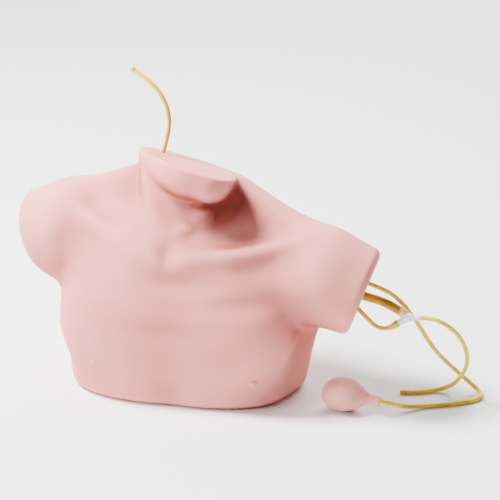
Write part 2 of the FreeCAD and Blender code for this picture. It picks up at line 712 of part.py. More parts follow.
def squeeze_bulb():
    """Egg-shaped bulb with a short collar, one sealed moulding, lying on its side."""
    span = BULB_LENGTH + BULB_COLLAR_LENGTH
    neck = BULB_COLLAR_ROUND
    nose = FreeCAD.Vector(0.0, 0.0, 0.0)
    crown = FreeCAD.Vector(BULB_FATTEST * BULB_LENGTH, BULB_ROUND, 0.0)
    throat = FreeCAD.Vector(BULB_LENGTH, neck, 0.0)
    fall = throat.x - crown.x
    nose_up = FreeCAD.Vector(0.0, BULB_NOSE_PULLS[0] * BULB_ROUND, 0.0)
    crown_back = FreeCAD.Vector(BULB_NOSE_PULLS[1] * crown.x, BULB_ROUND, 0.0)
    crown_ahead = FreeCAD.Vector(crown.x + BULB_THROAT_PULLS[0] * fall, BULB_ROUND, 0.0)
    throat_back = FreeCAD.Vector(throat.x - BULB_THROAT_PULLS[1] * fall, neck, 0.0)
    front = Part.BezierCurve()
    front.setPoles([nose, nose_up, crown_back, crown])
    back = Part.BezierCurve()
    back.setPoles([crown, crown_ahead, throat_back, throat])
    lip = FreeCAD.Vector(span, neck, 0.0)
    middle = FreeCAD.Vector(span, 0.0, 0.0)
    edges = [front.toShape(), back.toShape()]
    for start, end in ((throat, lip), (lip, middle), (middle, nose)):
        edges.append(Part.LineSegment(start, end).toShape())
    bulb = Part.Face(Part.Wire(edges)).revolve(nose, FreeCAD.Vector(1, 0, 0), 360.0)
    bulb = bulb.makeFillet(BULB_MOUTH_ROUND, rim_edges(bulb, (1.0, 0.0, 0.0), span))
    turn = FreeCAD.Rotation(FreeCAD.Vector(0, 1, 0), BULB_DROOP)
    bulb.Placement = FreeCAD.Placement(FreeCAD.Vector(*BULB_END), turn)
    return bulb


def y_connector():
    """Moulded Y with three bored legs, each ending face to face with its tube."""
    legs = ((Y_VEIN_END, Y_THICK_LEG_ROUND), (Y_LINK_END, Y_LEG_ROUND), (Y_LOOP_END, Y_LEG_ROUND))
    body = Part.makeSphere(Y_BODY_ROUND, FreeCAD.Vector(*Y_CENTRE))
    for end, radius in legs:
        body = body.fuse(rod(Y_CENTRE, end, radius))
    for end, _ in legs:
        body = body.cut(rod(Y_CENTRE, end, Y_BORE))
    return body


def outer_skin(outer, hollow):
    """The moulding: a walled bust with an oval opening below and four ports."""
    skin = outer.cut(hollow)
    skin = skin.cut(panel_plate(0.0, -CUT_SPARE, SKIN_WALL + CUT_SPARE))
    for port in (BULB_PORT, VEIN_PORT, LINK_PORT, NECK_PORT):
        hole = 0.5 * port[2] + SLEEVE_WALL + FIT_GAP
        skin = skin.cut(port_rod(port, hole, SKIN_WALL + CUT_SPARE, CUT_SPARE))
    return skin


def towards(spot, goal):
    return unit(add(goal, spot, -1.0))


def inner_routes():
    """Points, outer diameter, bore and end faces of each tube inside the bust, by name."""
    neck_lead = [JOINT_END] + inward(NECK_PORT)[::-1]
    limb_face = (None, towards(VEIN_LIMB[-1], HUB))
    jugular_face = (towards(JUGULAR[0], HUB), None)
    subclavian_face = (towards(SUBCLAVIAN[0], HUB), None)
    return_face = (None, towards(RETURN_LINE[-1], HUB))
    lead_face = (towards(JOINT_END, JUGULAR[-1]), None)
    return {
        "vein_limb": (inward(VEIN_PORT) + VEIN_LIMB, THICK_TUBE, THICK_BORE, limb_face),
        "jugular_vein": (JUGULAR, THICK_TUBE, THICK_BORE, jugular_face),
        "subclavian_vein": (SUBCLAVIAN, THICK_TUBE, THICK_BORE, subclavian_face),
        "return_line": (inward(LINK_PORT) + RETURN_LINE, THIN_TUBE, THIN_BORE, return_face),
        "artery": (inward(BULB_PORT) + ARTERY, THIN_TUBE, THIN_BORE, (None, None)),
        "neck_lead": (neck_lead, THIN_TUBE, THIN_BORE, lead_face),
    }


def outer_routes():
    """Points, diameter and end faces of each tube outside the bust, by name."""
    arm = tuple(-v for v in LEFT_NORMAL)
    neck = tuple(-v for v in NECK_NORMAL)
    bulb = tuple(-v for v in BULB_AXIS)
    vein_faces = (arm, towards(Y_VEIN_END, Y_CENTRE))
    link_faces = (arm, towards(Y_LINK_END, Y_CENTRE))
    return {
        "neck_tube": ([NECK_PORT[0]] + NECK_TUBE, THIN_TUBE, (neck, None)),
        "vein_tube": ([VEIN_PORT[0]] + VEIN_TUBE + [Y_VEIN_END], THICK_TUBE, vein_faces),
        "link_tube": ([LINK_PORT[0]] + LINK_TUBE + [Y_LINK_END], THIN_TUBE, link_faces),
        "loop_tube": ([Y_LOOP_END] + LOOP_TUBE, THIN_TUBE, (towards(Y_LOOP_END, Y_CENTRE), None)),
        "bulb_line": ([BULB_PORT[0]] + BULB_LINE + [BULB_MOUTH], THIN_TUBE, (arm, bulb)),
    }


def foam_core(foam):
    """Soft filling with a channel for each tube and a pocket for each bone."""
    pockets = []
    for name, (points, diameter, _, faces) in inner_routes().items():
        channel = path(lengthened(points, faces), name + " channel")
        pockets.append(bar_along(channel, diameter + 2.0 * SOFT_GAP))
    pockets.append(hub_pocket())
    pockets.append(rod(JUGULAR[-1], JOINT_END, 0.5 * THICK_TUBE + SOFT_GAP))
    pockets.append(plug_pocket(SUBCLAVIAN, THICK_TUBE))
    pockets.append(plug_pocket(ARTERY, THIN_TUBE))
    for ridge in (LEFT_CLAVICLE, RIGHT_CLAVICLE):
        pockets.append(clavicle(ridge, SOFT_GAP))
    pockets.append(sternum(SOFT_GAP))
    foam = trimmed(foam, SKIN_WALL + SOFT_GAP, SKIN_WALL + PANEL_FLANGE_THICK)
    return foam.cut(pockets).Solids[0]


def build():
    """Every piece of the trainer by name, about the breastbone line."""
    depths = [SKIN_WALL + SOFT_GAP, SKIN_WALL, 0.0]
    foam, hollow, outer = [closed_solid(net) for net in nets(BUST, VIEW_POINT, ROWS, COLUMNS, depths)]
    jaw = closed_solid(nets(JAW, JAW_CENTRE, JAW_ROWS, JAW_COLUMNS, [0.0])[0])
    outer = rounded_rims(trimmed(outer.fuse(jaw), 0.0, 0.0))
    hollow = trimmed(hollow, SKIN_WALL, SKIN_WALL)
    pieces = {
        "torso_skin": outer_skin(outer, hollow),
        "foam_core": foam_core(foam),
        "base_panel": base_panel(),
        "sternum": sternum(),
        "clavicle_left": clavicle(LEFT_CLAVICLE),
        "clavicle_right": clavicle(RIGHT_CLAVICLE),
        "vein_hub": vein_hub(),
        "neck_joint": neck_joint(),
        "subclavian_plug": end_plug(SUBCLAVIAN, THICK_TUBE),
        "artery_plug": end_plug(ARTERY, THIN_TUBE),
        "bulb_line_sleeve": sleeve(BULB_PORT),
        "vein_sleeve": sleeve(VEIN_PORT),
        "return_sleeve": sleeve(LINK_PORT),
        "neck_sleeve": sleeve(NECK_PORT),
        "squeeze_bulb": squeeze_bulb(),
        "y_connector": y_connector(),
    }
    for name, (points, diameter, bore, faces) in inner_routes().items():
        pieces[name] = tube(points, diameter, bore, name, faces)
    for name, (points, diameter, faces) in outer_routes().items():
        pieces[name] = tube(points, diameter, 0.0, name, faces)
    return pieces


def write(pieces):
    """Centre the bust over the origin and write each piece to its own file."""
    os.makedirs("parts", exist_ok=True)
    points = pieces["torso_skin"].tessellate(BOX_TOLERANCE)[0]
    middle = [0.5 * (min(p[axis] for p in points) + max(p[axis] for p in points)) for axis in (0, 1)]
    shift = FreeCAD.Vector(-middle[0], -middle[1], 0.0)
    print("shift", round(shift.x, 2), round(shift.y, 2))
    for name, piece in pieces.items():
        piece = piece.copy()
        piece.translate(shift)
        box = piece.optimalBoundingBox(False)
        print(name, piece.ShapeType, len(piece.Solids), piece.isValid(), round(piece.Volume),
              [round(v, 1) for v in (box.XMin, box.YMin, box.ZMin, box.XMax, box.YMax, box.ZMax)])
        piece.exportStep(f"parts/{name}.step")


write(build())
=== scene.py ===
# %% [markdown]
# A central venous access trainer: a soft vinyl bust that students needle over its veins. Latex
# tubes leave its left arm stump and its neck, and a squeeze bulb drives the pulse of its artery.
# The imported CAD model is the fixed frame. This file dresses it, and it never moves or changes it.

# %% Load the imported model
import math
import bmesh
import bpy
import numpy as np
from mathutils import Matrix, Vector, geometry


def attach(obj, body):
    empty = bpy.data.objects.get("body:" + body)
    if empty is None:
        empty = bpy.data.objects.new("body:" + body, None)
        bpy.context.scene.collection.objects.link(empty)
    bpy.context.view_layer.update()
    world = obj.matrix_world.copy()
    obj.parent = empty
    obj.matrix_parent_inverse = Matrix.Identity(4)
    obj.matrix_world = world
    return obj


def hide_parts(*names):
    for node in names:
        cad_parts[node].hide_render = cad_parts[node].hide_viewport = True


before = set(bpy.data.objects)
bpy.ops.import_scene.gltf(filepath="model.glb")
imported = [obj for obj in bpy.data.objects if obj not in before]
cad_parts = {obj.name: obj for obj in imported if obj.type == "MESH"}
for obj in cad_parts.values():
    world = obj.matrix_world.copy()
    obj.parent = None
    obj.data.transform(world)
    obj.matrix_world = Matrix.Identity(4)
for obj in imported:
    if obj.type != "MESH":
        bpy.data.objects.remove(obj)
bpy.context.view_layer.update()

# %% [markdown]
# The bust was laid out in millimetres about its breastbone line, and then shifted so that the
# origin lies under its middle. Every place below is written in those millimetres, and one small
# function turns it into metres of the frame.

# %% Millimetres of the layout into metres of the frame
SHIFT = Vector((-9.63, 4.34, 0.0))
MILLIMETRE = 0.001


def metres(place):
    return (Vector(place) + SHIFT) * MILLIMETRE


# %% [markdown]
# The camera stands a little to the bust's left and above it, far away behind a long lens, which
# keeps the shoulders from looking swollen.

# %% Camera
CAMERA_TARGET = (37.0, 112.0, 126.0)
CAMERA_AZIMUTH = math.radians(18.0)
CAMERA_ELEVATION = math.radians(22.0)
CAMERA_DISTANCE = 2.0
CAMERA_LENS = 120.0
SENSOR_WIDTH = 36.0

camera_data = bpy.data.cameras.new("camera")
camera_data.lens = CAMERA_LENS
camera_data.sensor_width = SENSOR_WIDTH
camera = bpy.data.objects.new("camera", camera_data)
away = Vector((math.sin(CAMERA_AZIMUTH), -math.cos(CAMERA_AZIMUTH), math.tan(CAMERA_ELEVATION)))
away.normalize()
camera.location = metres(CAMERA_TARGET) + away * CAMERA_DISTANCE
camera.rotation_euler = away.to_track_quat("Z", "Y").to_euler()
bpy.context.scene.collection.objects.link(camera)
bpy.context.scene.camera = camera
print("camera at", [round(v, 3) for v in camera.location])

# %% [markdown]
# Every finish below is built from the same few parts: a place on the object, noise that wanders
# over it, a mix of two tones and a bump. Small functions add one such part each, so that a finish
# reads as a short list. The noise reads Object coordinates, so it is fixed to the piece.

# %% Parts of a finish
def finish(name, roughness, specular=0.5):
    """An empty finish: its material, its shader and its places in metres."""
    material = bpy.data.materials.new(name)
    material.use_nodes = True
    shader = material.node_tree.nodes["Principled BSDF"]
    shader.inputs["Roughness"].default_value = roughness
    shader.inputs["Specular IOR Level"].default_value = specular
    places = material.node_tree.nodes.new("ShaderNodeTexCoord").outputs["Object"]
    return material, shader, places


def noise(material, places, scale, detail=3.0):
    """A factor that wanders over the piece, with about scale waves in a metre."""
    made = material.node_tree.nodes.new("ShaderNodeTexNoise")
    made.inputs["Scale"].default_value = scale
    made.inputs["Detail"].default_value = detail
    material.node_tree.links.new(places, made.inputs["Vector"])
    return made.outputs["Fac"]


def spread(material, factor, low, high, to_low=0.0, to_high=1.0):
    """Stretches the part of a factor between low and high over a new range."""
    made = material.node_tree.nodes.new("ShaderNodeMapRange")
    for slot, value in zip(("From Min", "From Max", "To Min", "To Max"), (low, high, to_low, to_high)):
        made.inputs[slot].default_value = value
    material.node_tree.links.new(factor, made.inputs["Value"])
    return made.outputs["Result"]


def mixed(material, factor, first, second):
    """Two tones, or two colour sockets, mixed by a factor."""
    made = material.node_tree.nodes.new("ShaderNodeMix")
    made.data_type = "RGBA"
    material.node_tree.links.new(factor, made.inputs[0])
    for slot, colour in ((6, first), (7, second)):
        if isinstance(colour, tuple):
            made.inputs[slot].default_value = (*colour, 1.0)
        else:
            material.node_tree.links.new(colour, made.inputs[slot])
    return made.outputs[2]


def bumped(material, height, strength, distance, under=None):
    """Normals bent by a height, and by the bump under it where there is one."""
    made = material.node_tree.nodes.new("ShaderNodeBump")
    made.inputs["Strength"].default_value = strength
    made.inputs["Distance"].default_value = distance
    material.node_tree.links.new(height, made.inputs["Height"])
    if under is not None:
        material.node_tree.links.new(under, made.inputs["Normal"])
    return made.outputs["Normal"]


def lit_through(shader, weight, tint, depth):
    """Light that sinks into a soft material and comes out again, in a tint and to a depth in metres."""
    shader.inputs["Subsurface Weight"].default_value = weight
    shader.inputs["Subsurface Radius"].default_value = tint
    shader.inputs["Subsurface Scale"].default_value = depth


def dress(thing, material):
    """Gives a piece one finish in place of any other."""
    thing.data.materials.clear()
    thing.data.materials.append(material)


# %% [markdown]
# The tubes are amber latex, dipped and dusted with powder. Latex lets a little light through, so
# it glows where it is lit from behind: that is the subsurface part, with red going deepest. The
# tone wanders slowly along the tube, and a fine powdery bump breaks its gloss.

# %% Latex
SLOW_TONE = 55.0
POWDER = 1400.0


def latex(name, deep, pale, glow):
    """Powdered latex between a deep and a pale tone."""
    material, shader, places = finish(name, 0.45, 0.22)
    links = material.node_tree.links
    wander = spread(material, noise(material, places, SLOW_TONE), 0.35, 0.65)
    dust = noise(material, places, POWDER, 2.0)
    clean = mixed(material, wander, deep, pale)
    dusty = tuple(min(1.0, 0.85 * tone + 0.12) for tone in pale)
    veil = spread(material, dust, 0.45, 0.8, 0.0, 0.10)
    links.new(mixed(material, veil, clean, dusty), shader.inputs["Base Color"])
    links.new(spread(material, dust, 0.3, 0.7, 0.34, 0.55), shader.inputs["Roughness"])
    links.new(bumped(material, dust, 0.25, 0.0002), shader.inputs["Normal"])
    lit_through(shader, glow, (1.0, 0.45, 0.08), 0.003)
    return material


thin_latex = latex("thin_latex", (0.62, 0.385, 0.002), (0.80, 0.55, 0.006), 0.2)
thick_latex = latex("thick_latex", (0.40, 0.19, 0.001), (0.54, 0.27, 0.002), 0.12)
print("latex finishes made")

# %% [markdown]
# Each tube is a single smooth spline that follows the same points as its solid, with a round
# bevel. A bevelled curve stays perfectly round in every bend, which a swept mesh would not. Where
# a tube leaves a port its first point lies a little inside, so that no end shows there. The places
# of the ports and of the Y are those of the solids, and the bulb lies on the table.

# %% Where the tubes run
THIN = 5.0
THICK = 10.0
SEATED = 2.0
ARM_NORMAL = Vector((0.93920, 0.08052, -0.33381))
ARM_OFFSET = 148.3
NECK_NORMAL = Vector((0.204, 0.290, 1.0)).normalized()
NECK_OFFSET = 267.4 * NECK_NORMAL.z


def on_arm_cut(y, z):
    """The place on the left arm's cut face with this y and z."""
    return Vector(((ARM_OFFSET - ARM_NORMAL.y * y - ARM_NORMAL.z * z) / ARM_NORMAL.x, y, z))


def on_neck_cut(x, y):
    """The place on the neck's cut face with this x and y."""
    return Vector((x, y, (NECK_OFFSET - NECK_NORMAL.x * x - NECK_NORMAL.y * y) / NECK_NORMAL.z))


BULB_PORT = on_arm_cut(5.0, 148.5)
VEIN_PORT = on_arm_cut(5.0, 132.8)
LINK_PORT = on_arm_cut(5.0, 117.3)
NECK_PORT = on_neck_cut(-42.5, 36.0)
Y_CENTRE = Vector((256.4, 0.0, 117.2))
Y_VEIN_END = Vector((250.1, 0.0, 121.6))
Y_LINK_END = Vector((246.3, 0.0, 108.0))
Y_LOOP_END = Vector((267.9, 0.0, 117.2))
BULB_ROUND = 20.5
BULB_LENGTH = 57.0
BULB_COLLAR = 9.0
BULB_DROOP = math.radians(5.0)
BULB_FATTEST = 0.40 * BULB_LENGTH
TABLE_GAP = 0.1
BULB_END = Vector((165.0, -17.0, BULB_ROUND + TABLE_GAP + BULB_FATTEST * math.sin(BULB_DROOP)))
BULB_AXIS = Vector((math.cos(BULB_DROOP), 0.0, -math.sin(BULB_DROOP)))
BULB_MOUTH = BULB_END + BULB_AXIS * (BULB_LENGTH + BULB_COLLAR)

NECK_ROUTE = [
    NECK_PORT - NECK_NORMAL * SEATED,
    (-38.0, 38.5, 283.0),
    (-34.9, 40.0, 304.0),
    (-41.5, 42.0, 327.0),
    (-60.0, 44.0, 347.0),
    (-82.8, 46.0, 358.9),
]
VEIN_ROUTE = [VEIN_PORT - ARM_NORMAL * SEATED, (222.6, 4.0, 130.8), (236.9, 2.0, 126.9), Y_VEIN_END]
LINK_ROUTE = [
    LINK_PORT - ARM_NORMAL * SEATED,
    (209.6, 4.0, 107.1),
    (220.5, 2.5, 98.2),
    (234.7, 1.0, 97.8),
    Y_LINK_END,
]
LOOP_ROUTE = [
    Y_LOOP_END,
    (281.6, 0.0, 118.9),
    (296.9, 3.0, 113.7),
    (311.8, 10.0, 99.4),
    (320.6, 22.0, 75.7),
    (319.1, 40.0, 47.4),
    (307.7, 54.0, 22.6),
    (300.0, 60.0, 11.5),
    (290.0, 61.5, 4.6),
    (278.5, 56.0, 2.6),
    (265.0, 47.0, 2.6),
    (253.6, 42.7, 2.6),
    (242.5, 39.9, 2.6),
]
BULB_ROUTE = [
    BULB_PORT - ARM_NORMAL * SEATED,
    (229.5, 6.0, 143.5),
    (247.0, 11.0, 129.0),
    (263.0, 20.0, 103.0),
    (280.5, 36.0, 64.0),
    (299.0, 54.0, 36.5),
    (314.0, 66.0, 17.5),
    (325.0, 70.0, 6.5),
    (332.5, 65.0, 2.7),
    (334.0, 55.5, 2.6),
    (329.5, 46.5, 2.6),
    (319.0, 37.5, 2.6),
    (300.0, 25.0, 2.6),
    (276.0, 13.5, 2.6),
    (258.0, 0.0, 5.5),
    (244.5, -11.5, 13.0),
    BULB_MOUTH - BULB_AXIS * SEATED,
]
print("route points", [len(r) for r in (NECK_ROUTE, VEIN_ROUTE, LINK_ROUTE, LOOP_ROUTE, BULB_ROUTE)])

# %% [markdown]
# The neck line and the loop line end in the open, cut square. There the spline stops a little
# short, and a short bored piece carries the tube on to its cut, so that the bore shows.

# %% Smooth tubes
MOUTH_LENGTH = 5.0
MOUTH_OVERLAP = 1.0
TUBE_STEPS = 14
TUBE_ROUNDNESS = 7


def short_of_end(route):
    """The route with its last point drawn back, so that it just overlaps a bored end."""
    before, last = Vector(route[-2]), Vector(route[-1])
    return list(route[:-1]) + [last - (last - before).normalized() * (MOUTH_LENGTH - MOUTH_OVERLAP)]


def smooth_tube(name, route, diameter, material):
    """A round tube on one open spline through the route's control points."""
    data = bpy.data.curves.new(name, "CURVE")
    data.dimensions = "3D"
    spline = data.splines.new("NURBS")
    spline.points.add(len(route) - 1)
    for point, place in zip(spline.points, route):
        point.co = (*metres(place), 1.0)
    spline.order_u = 3
    spline.use_endpoint_u = True
    spline.resolution_u = TUBE_STEPS
    data.bevel_depth = 0.5 * diameter * MILLIMETRE
    data.bevel_resolution = TUBE_ROUNDNESS
    data.use_fill_caps = True
    tube = bpy.data.objects.new(name, data)
    bpy.context.scene.collection.objects.link(tube)
    dress(tube, material)
    return tube


neck_tube = smooth_tube("neck_line", short_of_end(NECK_ROUTE), THIN, thin_latex)
vein_tube = smooth_tube("vein_hose", VEIN_ROUTE, THICK, thick_latex)
link_tube = smooth_tube("link_line", LINK_ROUTE, THIN, thin_latex)
loop_tube = smooth_tube("loop_line", short_of_end(LOOP_ROUTE), THIN, thin_latex)
bulb_tube = smooth_tube("pulse_line", BULB_ROUTE, THIN, thin_latex)
print("five tubes drawn")

# %% [markdown]
# The bust's surface is written as one function of place: how far a point lies outside the skin.
# Each muscle and bone is a rounded block or a tapered limb, and they melt into one another the
# way flesh does. The same function can then be asked for the surface at any fineness.

# %% Rounded blocks, limbs and how they melt together
LEAST_REACH = 1e-3
LEAST_SLOPE = 1e-6


def turned(turn, lean=0.0, tilt=0.0):
    """Axes of a form turned about Z, then tilted about Y, then leaned about X, in degrees."""
    spin = Matrix.Rotation(math.radians(turn), 3, "Z")
    spin = Matrix.Rotation(math.radians(tilt), 3, "Y") @ spin
    spin = Matrix.Rotation(math.radians(lean), 3, "X") @ spin
    return np.array(spin)


def block(centre, half_sizes, power, axes):
    """A rounded block: power 2 makes an egg, and a higher power squarer sides."""
    centre, half = np.array(centre), np.array(half_sizes)

    def gap(places):
        u = np.abs((places - centre) @ axes) / half
        k = np.maximum((u**power).sum(axis=1) ** (1.0 / power), LEAST_REACH)
        slope = np.sqrt(((u ** (power - 1.0) / half) ** 2).sum(axis=1)) / k ** (power - 1.0)
        return (k - 1.0) / np.maximum(slope, LEAST_SLOPE)

    return gap


def limb(start, end, start_round, end_round):
    """A tapered bar with round ends."""
    start = np.array(start)
    way = np.array(end) - start

    def gap(places):
        local = places - start
        along = np.clip(local @ way / (way @ way), 0.0, 1.0)
        aside = np.linalg.norm(local - along[:, None] * way, axis=1)
        return aside - start_round - (end_round - start_round) * along

    return gap


def melted(first, second, blend):
    """Lesser of two distances, with the seam between them filled over the blend width."""
    seam = np.maximum(blend - np.abs(first - second), 0.0)
    return np.minimum(first, second) - seam**3 / (6.0 * blend * blend)


def melted_forms(forms, places):
    """How far places lie outside a row of forms, each melted into those before it."""
    total = forms[0][0](places)
    for form, blend in forms[1:]:
        total = melted(total, form(places), blend)
    return total


# %% [markdown]
# The trunk is one squarish block with a rounded breast on each side, two limbs for each shoulder
# and arm, and bars for the flanks, the slopes of the neck and the folds before the arms. The
# throat is a leaning column with a cord of muscle to each side and a larynx of two small eggs.
# The jaw is kept apart, because it overhangs and is pushed out from its own centre.

# %% The forms of the body
LEVEL = turned(0.0)
BREAST = (78.0, 39.0, 64.0)
LEFT_COLLAR, LEFT_SHOULDER, LEFT_ELBOW = (60, 14, 168), (160, 6, 150), (262, 12, 114)
RIGHT_COLLAR, RIGHT_SHOULDER, RIGHT_ELBOW = (-60, 14, 178), (-146, 6, 172), (-250, 12, 146)
TRUNK_FORMS = [
    (block((-7, 0, 40), (132, 77, 182), 2.7, turned(6.0)), 0),
    (block((58, -34, 90), BREAST, 2.2, turned(0.0, 0.0, -8.0)), 40),
    (block((-60, -45, 86), BREAST, 2.2, turned(0.0, 0.0, 8.0)), 40),
    (limb(LEFT_COLLAR, LEFT_SHOULDER, 42, 52), 50),
    (limb(RIGHT_COLLAR, RIGHT_SHOULDER, 42, 52), 50),
    (limb(LEFT_SHOULDER, LEFT_ELBOW, 52, 51), 20),
    (limb(RIGHT_SHOULDER, RIGHT_ELBOW, 52, 51), 20),
    (limb((96, 26, -44), (123, 24, 90), 20, 26), 40),
    (limb((-109, 6, -44), (-125, 4, 112), 20, 28), 46),
    (limb((34, 34, 232), (140, 20, 178), 22, 19), 45),
    (limb((-44, 34, 238), (-140, 20, 202), 22, 19), 45),
    (limb((50, -31, 154), (130, -18, 144), 18, 26), 30),
    (limb((-86, -28, 134), (-130, -16, 164), 20, 24), 30),
]
THROAT_FORMS = [
    (limb((-8, 22, 196), (-3.5, 20, 306), 51, 49), 34),
    (limb((-45, 6, 268), (-16, -48, 172), 11.5, 9), 20),
    (limb((36, 52, 256), (8, -46, 170), 12, 9), 16),
    (block((24, -24, 219), (11, 11, 14), 2.0, LEVEL), 17),
    (block((11, -34, 203), (10, 9, 9), 2.0, LEVEL), 15),
]
JAW_FORMS = [
    (block((-3, 14, 270), (48, 69, 44), 2.5, turned(48.0, -14.0, 11.0)), 0),
    (block((38, -28, 256), (20, 17, 19), 2.2, turned(48.0)), 16),
]
print("forms", len(TRUNK_FORMS), "in the trunk,", len(THROAT_FORMS), "in the throat")

# %% [markdown]
# The collar bones are what a student feels for first, so each is drawn as a bowed ridge: a round
# head at the notch, a bar that thins towards the shoulder, and a wide soft blend into the flesh.

# %% Collar bones
RIGHT_COLLAR_BONE = [
    ((-15, -56, 171), 8.5),
    ((-38, -53.5, 178), 8.0),
    ((-60, -48, 186), 7.0),
    ((-84, -40, 194), 6.6),
    ((-110, -28, 201), 6.6),
    ((-142, -10, 209), 8.0),
]
LEFT_COLLAR_BONE = [
    ((6, -53, 168), 8.5),
    ((20, -52, 174), 8.5),
    ((42, -50, 180), 7.8),
    ((66, -46.8, 183.5), 7.6),
    ((90, -38, 187), 7.0),
    ((112, -26, 190), 7.0),
    ((136, -12, 190), 8.0),
]
BONE_BLEND = 24.0


def bone_ridge(bone):
    """One form from a bone's tapered lengths, so that no knuckle shows where two of them meet."""
    lengths = [limb(a, b, r, s) for (a, r), (b, s) in zip(bone, bone[1:])]
    return lambda places: np.min([each(places) for each in lengths], axis=0)


BONE_FORMS = [(bone_ridge(RIGHT_COLLAR_BONE), BONE_BLEND), (bone_ridge(LEFT_COLLAR_BONE), BONE_BLEND)]
BODY_FORMS = TRUNK_FORMS + THROAT_FORMS + BONE_FORMS
print("forms in all", len(BODY_FORMS) + len(JAW_FORMS))

# %% [markdown]
# Shallow hollows finish the relief: the grooves between chest and shoulder, the pits behind the
# collar bones, the notch of the throat, the dip under the breastbone. Each one pushes the skin in
# by a depth that fades away like a bell curve. They thin the wall, which keeps 0.8 mm or more
# where they overlap most.

# %% Hollows
# Each is a centre, the widths of its fall along x, y and z, and its depth.
HOLLOWS = (
    ((-132.0, -46.0, 180.0), (17.0, 26.0, 20.0), 3.0),
    ((-114.0, -20.0, 216.0), (22.0, 24.0, 14.0), 1.8),
    ((-66.0, -38.0, 209.0), (26.0, 20.0, 12.0), 2.2),
    ((-5.0, -60.0, 182.0), (11.0, 16.0, 12.0), 3.0),
    ((44.0, -40.0, 208.0), (34.0, 26.0, 20.0), 4.0),
    ((66.0, -34.0, 197.0), (26.0, 20.0, 9.0), 1.6),
    ((100.0, -12.0, 206.0), (26.0, 22.0, 13.0), 3.2),
    ((18.0, -46.0, 198.0), (13.0, 14.0, 8.0), 2.2),
    ((16.0, -70.0, 151.0), (44.0, 24.0, 9.0), 1.8),
    ((78.0, -68.0, 131.0), (30.0, 28.0, 10.0), 3.0),
    ((120.0, -54.0, 136.0), (34.0, 30.0, 12.0), 2.0),
    ((-4.0, -86.0, 94.0), (62.0, 26.0, 13.0), 2.4),
    ((3.0, -80.0, 22.0), (20.0, 26.0, 26.0), 3.6),
    ((130.0, -34.0, 52.0), (18.0, 22.0, 42.0), 3.2),
)


def hollowed(flesh, places):
    """Distances from the flesh with every hollow pushed in."""
    for centre, widths, depth in HOLLOWS:
        near = ((places - np.array(centre)) / np.array(widths)) ** 2
        flesh = flesh + depth * np.exp(-near.sum(axis=1))
    return flesh


print("hollows", len(HOLLOWS), "deepest", max(depth for _, _, depth in HOLLOWS), "mm")


# %% [markdown]
# The moulding is cut flat across the neck, the upper arms and the lower chest. A rounded cut
# takes whichever is further outside, the flesh or the plane, and turns the corner between them
# on a true radius, as the mould does.

# %% The cuts and their rounded rims
RIGHT_ARM_NORMAL = Vector((-ARM_NORMAL.x, ARM_NORMAL.y, ARM_NORMAL.z))
RIGHT_ARM_OFFSET = 121.0
CHEST_SIDE = 160.0
ARM_CUT_FLOOR = 80.0
ARM_RIM_ROUND = 9.0
CHEST_RIM_ROUND = 11.0
NECK_RIM_ROUND = 2.5
SKIN_WALL = 5.0


def rounded_cut(flesh, plane, radius):
    """The flesh cut off at a plane, with a rim of the given radius."""
    inner = np.minimum(np.maximum(flesh + radius, plane + radius), 0.0)
    corner = np.hypot(np.maximum(flesh + radius, 0.0), np.maximum(plane + radius, 0.0))
    return inner + corner - radius


def trimmed(flesh, places, inset=0.0):
    """The flesh with all four cuts made, each the inset deeper than the outside's."""
    clear = np.maximum(np.abs(places[:, 0]) - CHEST_SIDE, places[:, 2] - ARM_CUT_FLOOR)
    left = places @ np.array(ARM_NORMAL) - ARM_OFFSET + inset
    right = places @ np.array(RIGHT_ARM_NORMAL) - RIGHT_ARM_OFFSET + inset
    flesh = rounded_cut(flesh, np.minimum(left, clear), ARM_RIM_ROUND)
    flesh = rounded_cut(flesh, np.minimum(right, clear), ARM_RIM_ROUND)
    flesh = rounded_cut(flesh, inset - places[:, 2], CHEST_RIM_ROUND)
    neck = places @ np.array(NECK_NORMAL) - NECK_OFFSET + inset
    return rounded_cut(flesh, neck, NECK_RIM_ROUND)


# %% [markdown]
# Put together, the forms give the whole outside. The nipple buds are small balls whose centres lie
# behind the chest's front, so each is found by stepping in from the front of the chest. The body
# and the jaw are also needed alone, and so is the hollow inside, one wall deeper.

# %% The whole outside, its two parts and the hollow inside
JAW_BLEND = 6.0
BUD_BLEND = 1.2
FRONT_START = -150.0
FRONT_STEP = 0.7
FRONT_NEAR = 0.02


def bare_bust(places):
    """Body and jaw with their hollows, before any cut."""
    flesh = melted(melted_forms(BODY_FORMS, places), melted_forms(JAW_FORMS, places), JAW_BLEND)
    return hollowed(flesh, places)


def front_of_chest(x, z, depth):
    """A point a given depth behind the chest's front, found by stepping in from the front."""
    y, gap = FRONT_START, 1.0
    while gap > FRONT_NEAR:
        gap = bare_bust(np.array([[x, y, z]]))[0]
        y += FRONT_STEP * gap
    return (x, y + depth, z)


NIPPLES = ((front_of_chest(-87.4, 48.4, 1.2), 2.7), (front_of_chest(95.6, 38.2, 2.0), 5.0))
print("nipples", [[round(v, 1) for v in spot] for spot, _ in NIPPLES])


def whole_bust(places):
    """The finished outside, with nipple buds and cuts."""
    flesh = bare_bust(places)
    for spot, radius in NIPPLES:
        bud = np.linalg.norm(places - np.array(spot), axis=1) - radius
        flesh = melted(flesh, bud, BUD_BLEND)
    return trimmed(flesh, places)


def body_alone(places):
    return trimmed(melted_forms(BODY_FORMS, places), places)


def jaw_alone(places):
    return trimmed(melted_forms(JAW_FORMS, places), places)


def inside(places):
    """The inner side of the moulding's wall."""
    flesh = melted_forms(BODY_FORMS, places) + SKIN_WALL
    return trimmed(flesh, places, SKIN_WALL)


# %% [markdown]
# A ball of even triangles is pushed out from inside the body until each corner meets the skin.
# The same is done for the jaw, which overhangs the neck and so can't be reached from the chest.
# A voxel remesh then melts the two shells into one, and every corner is drawn back onto the
# exact surface along its slope.

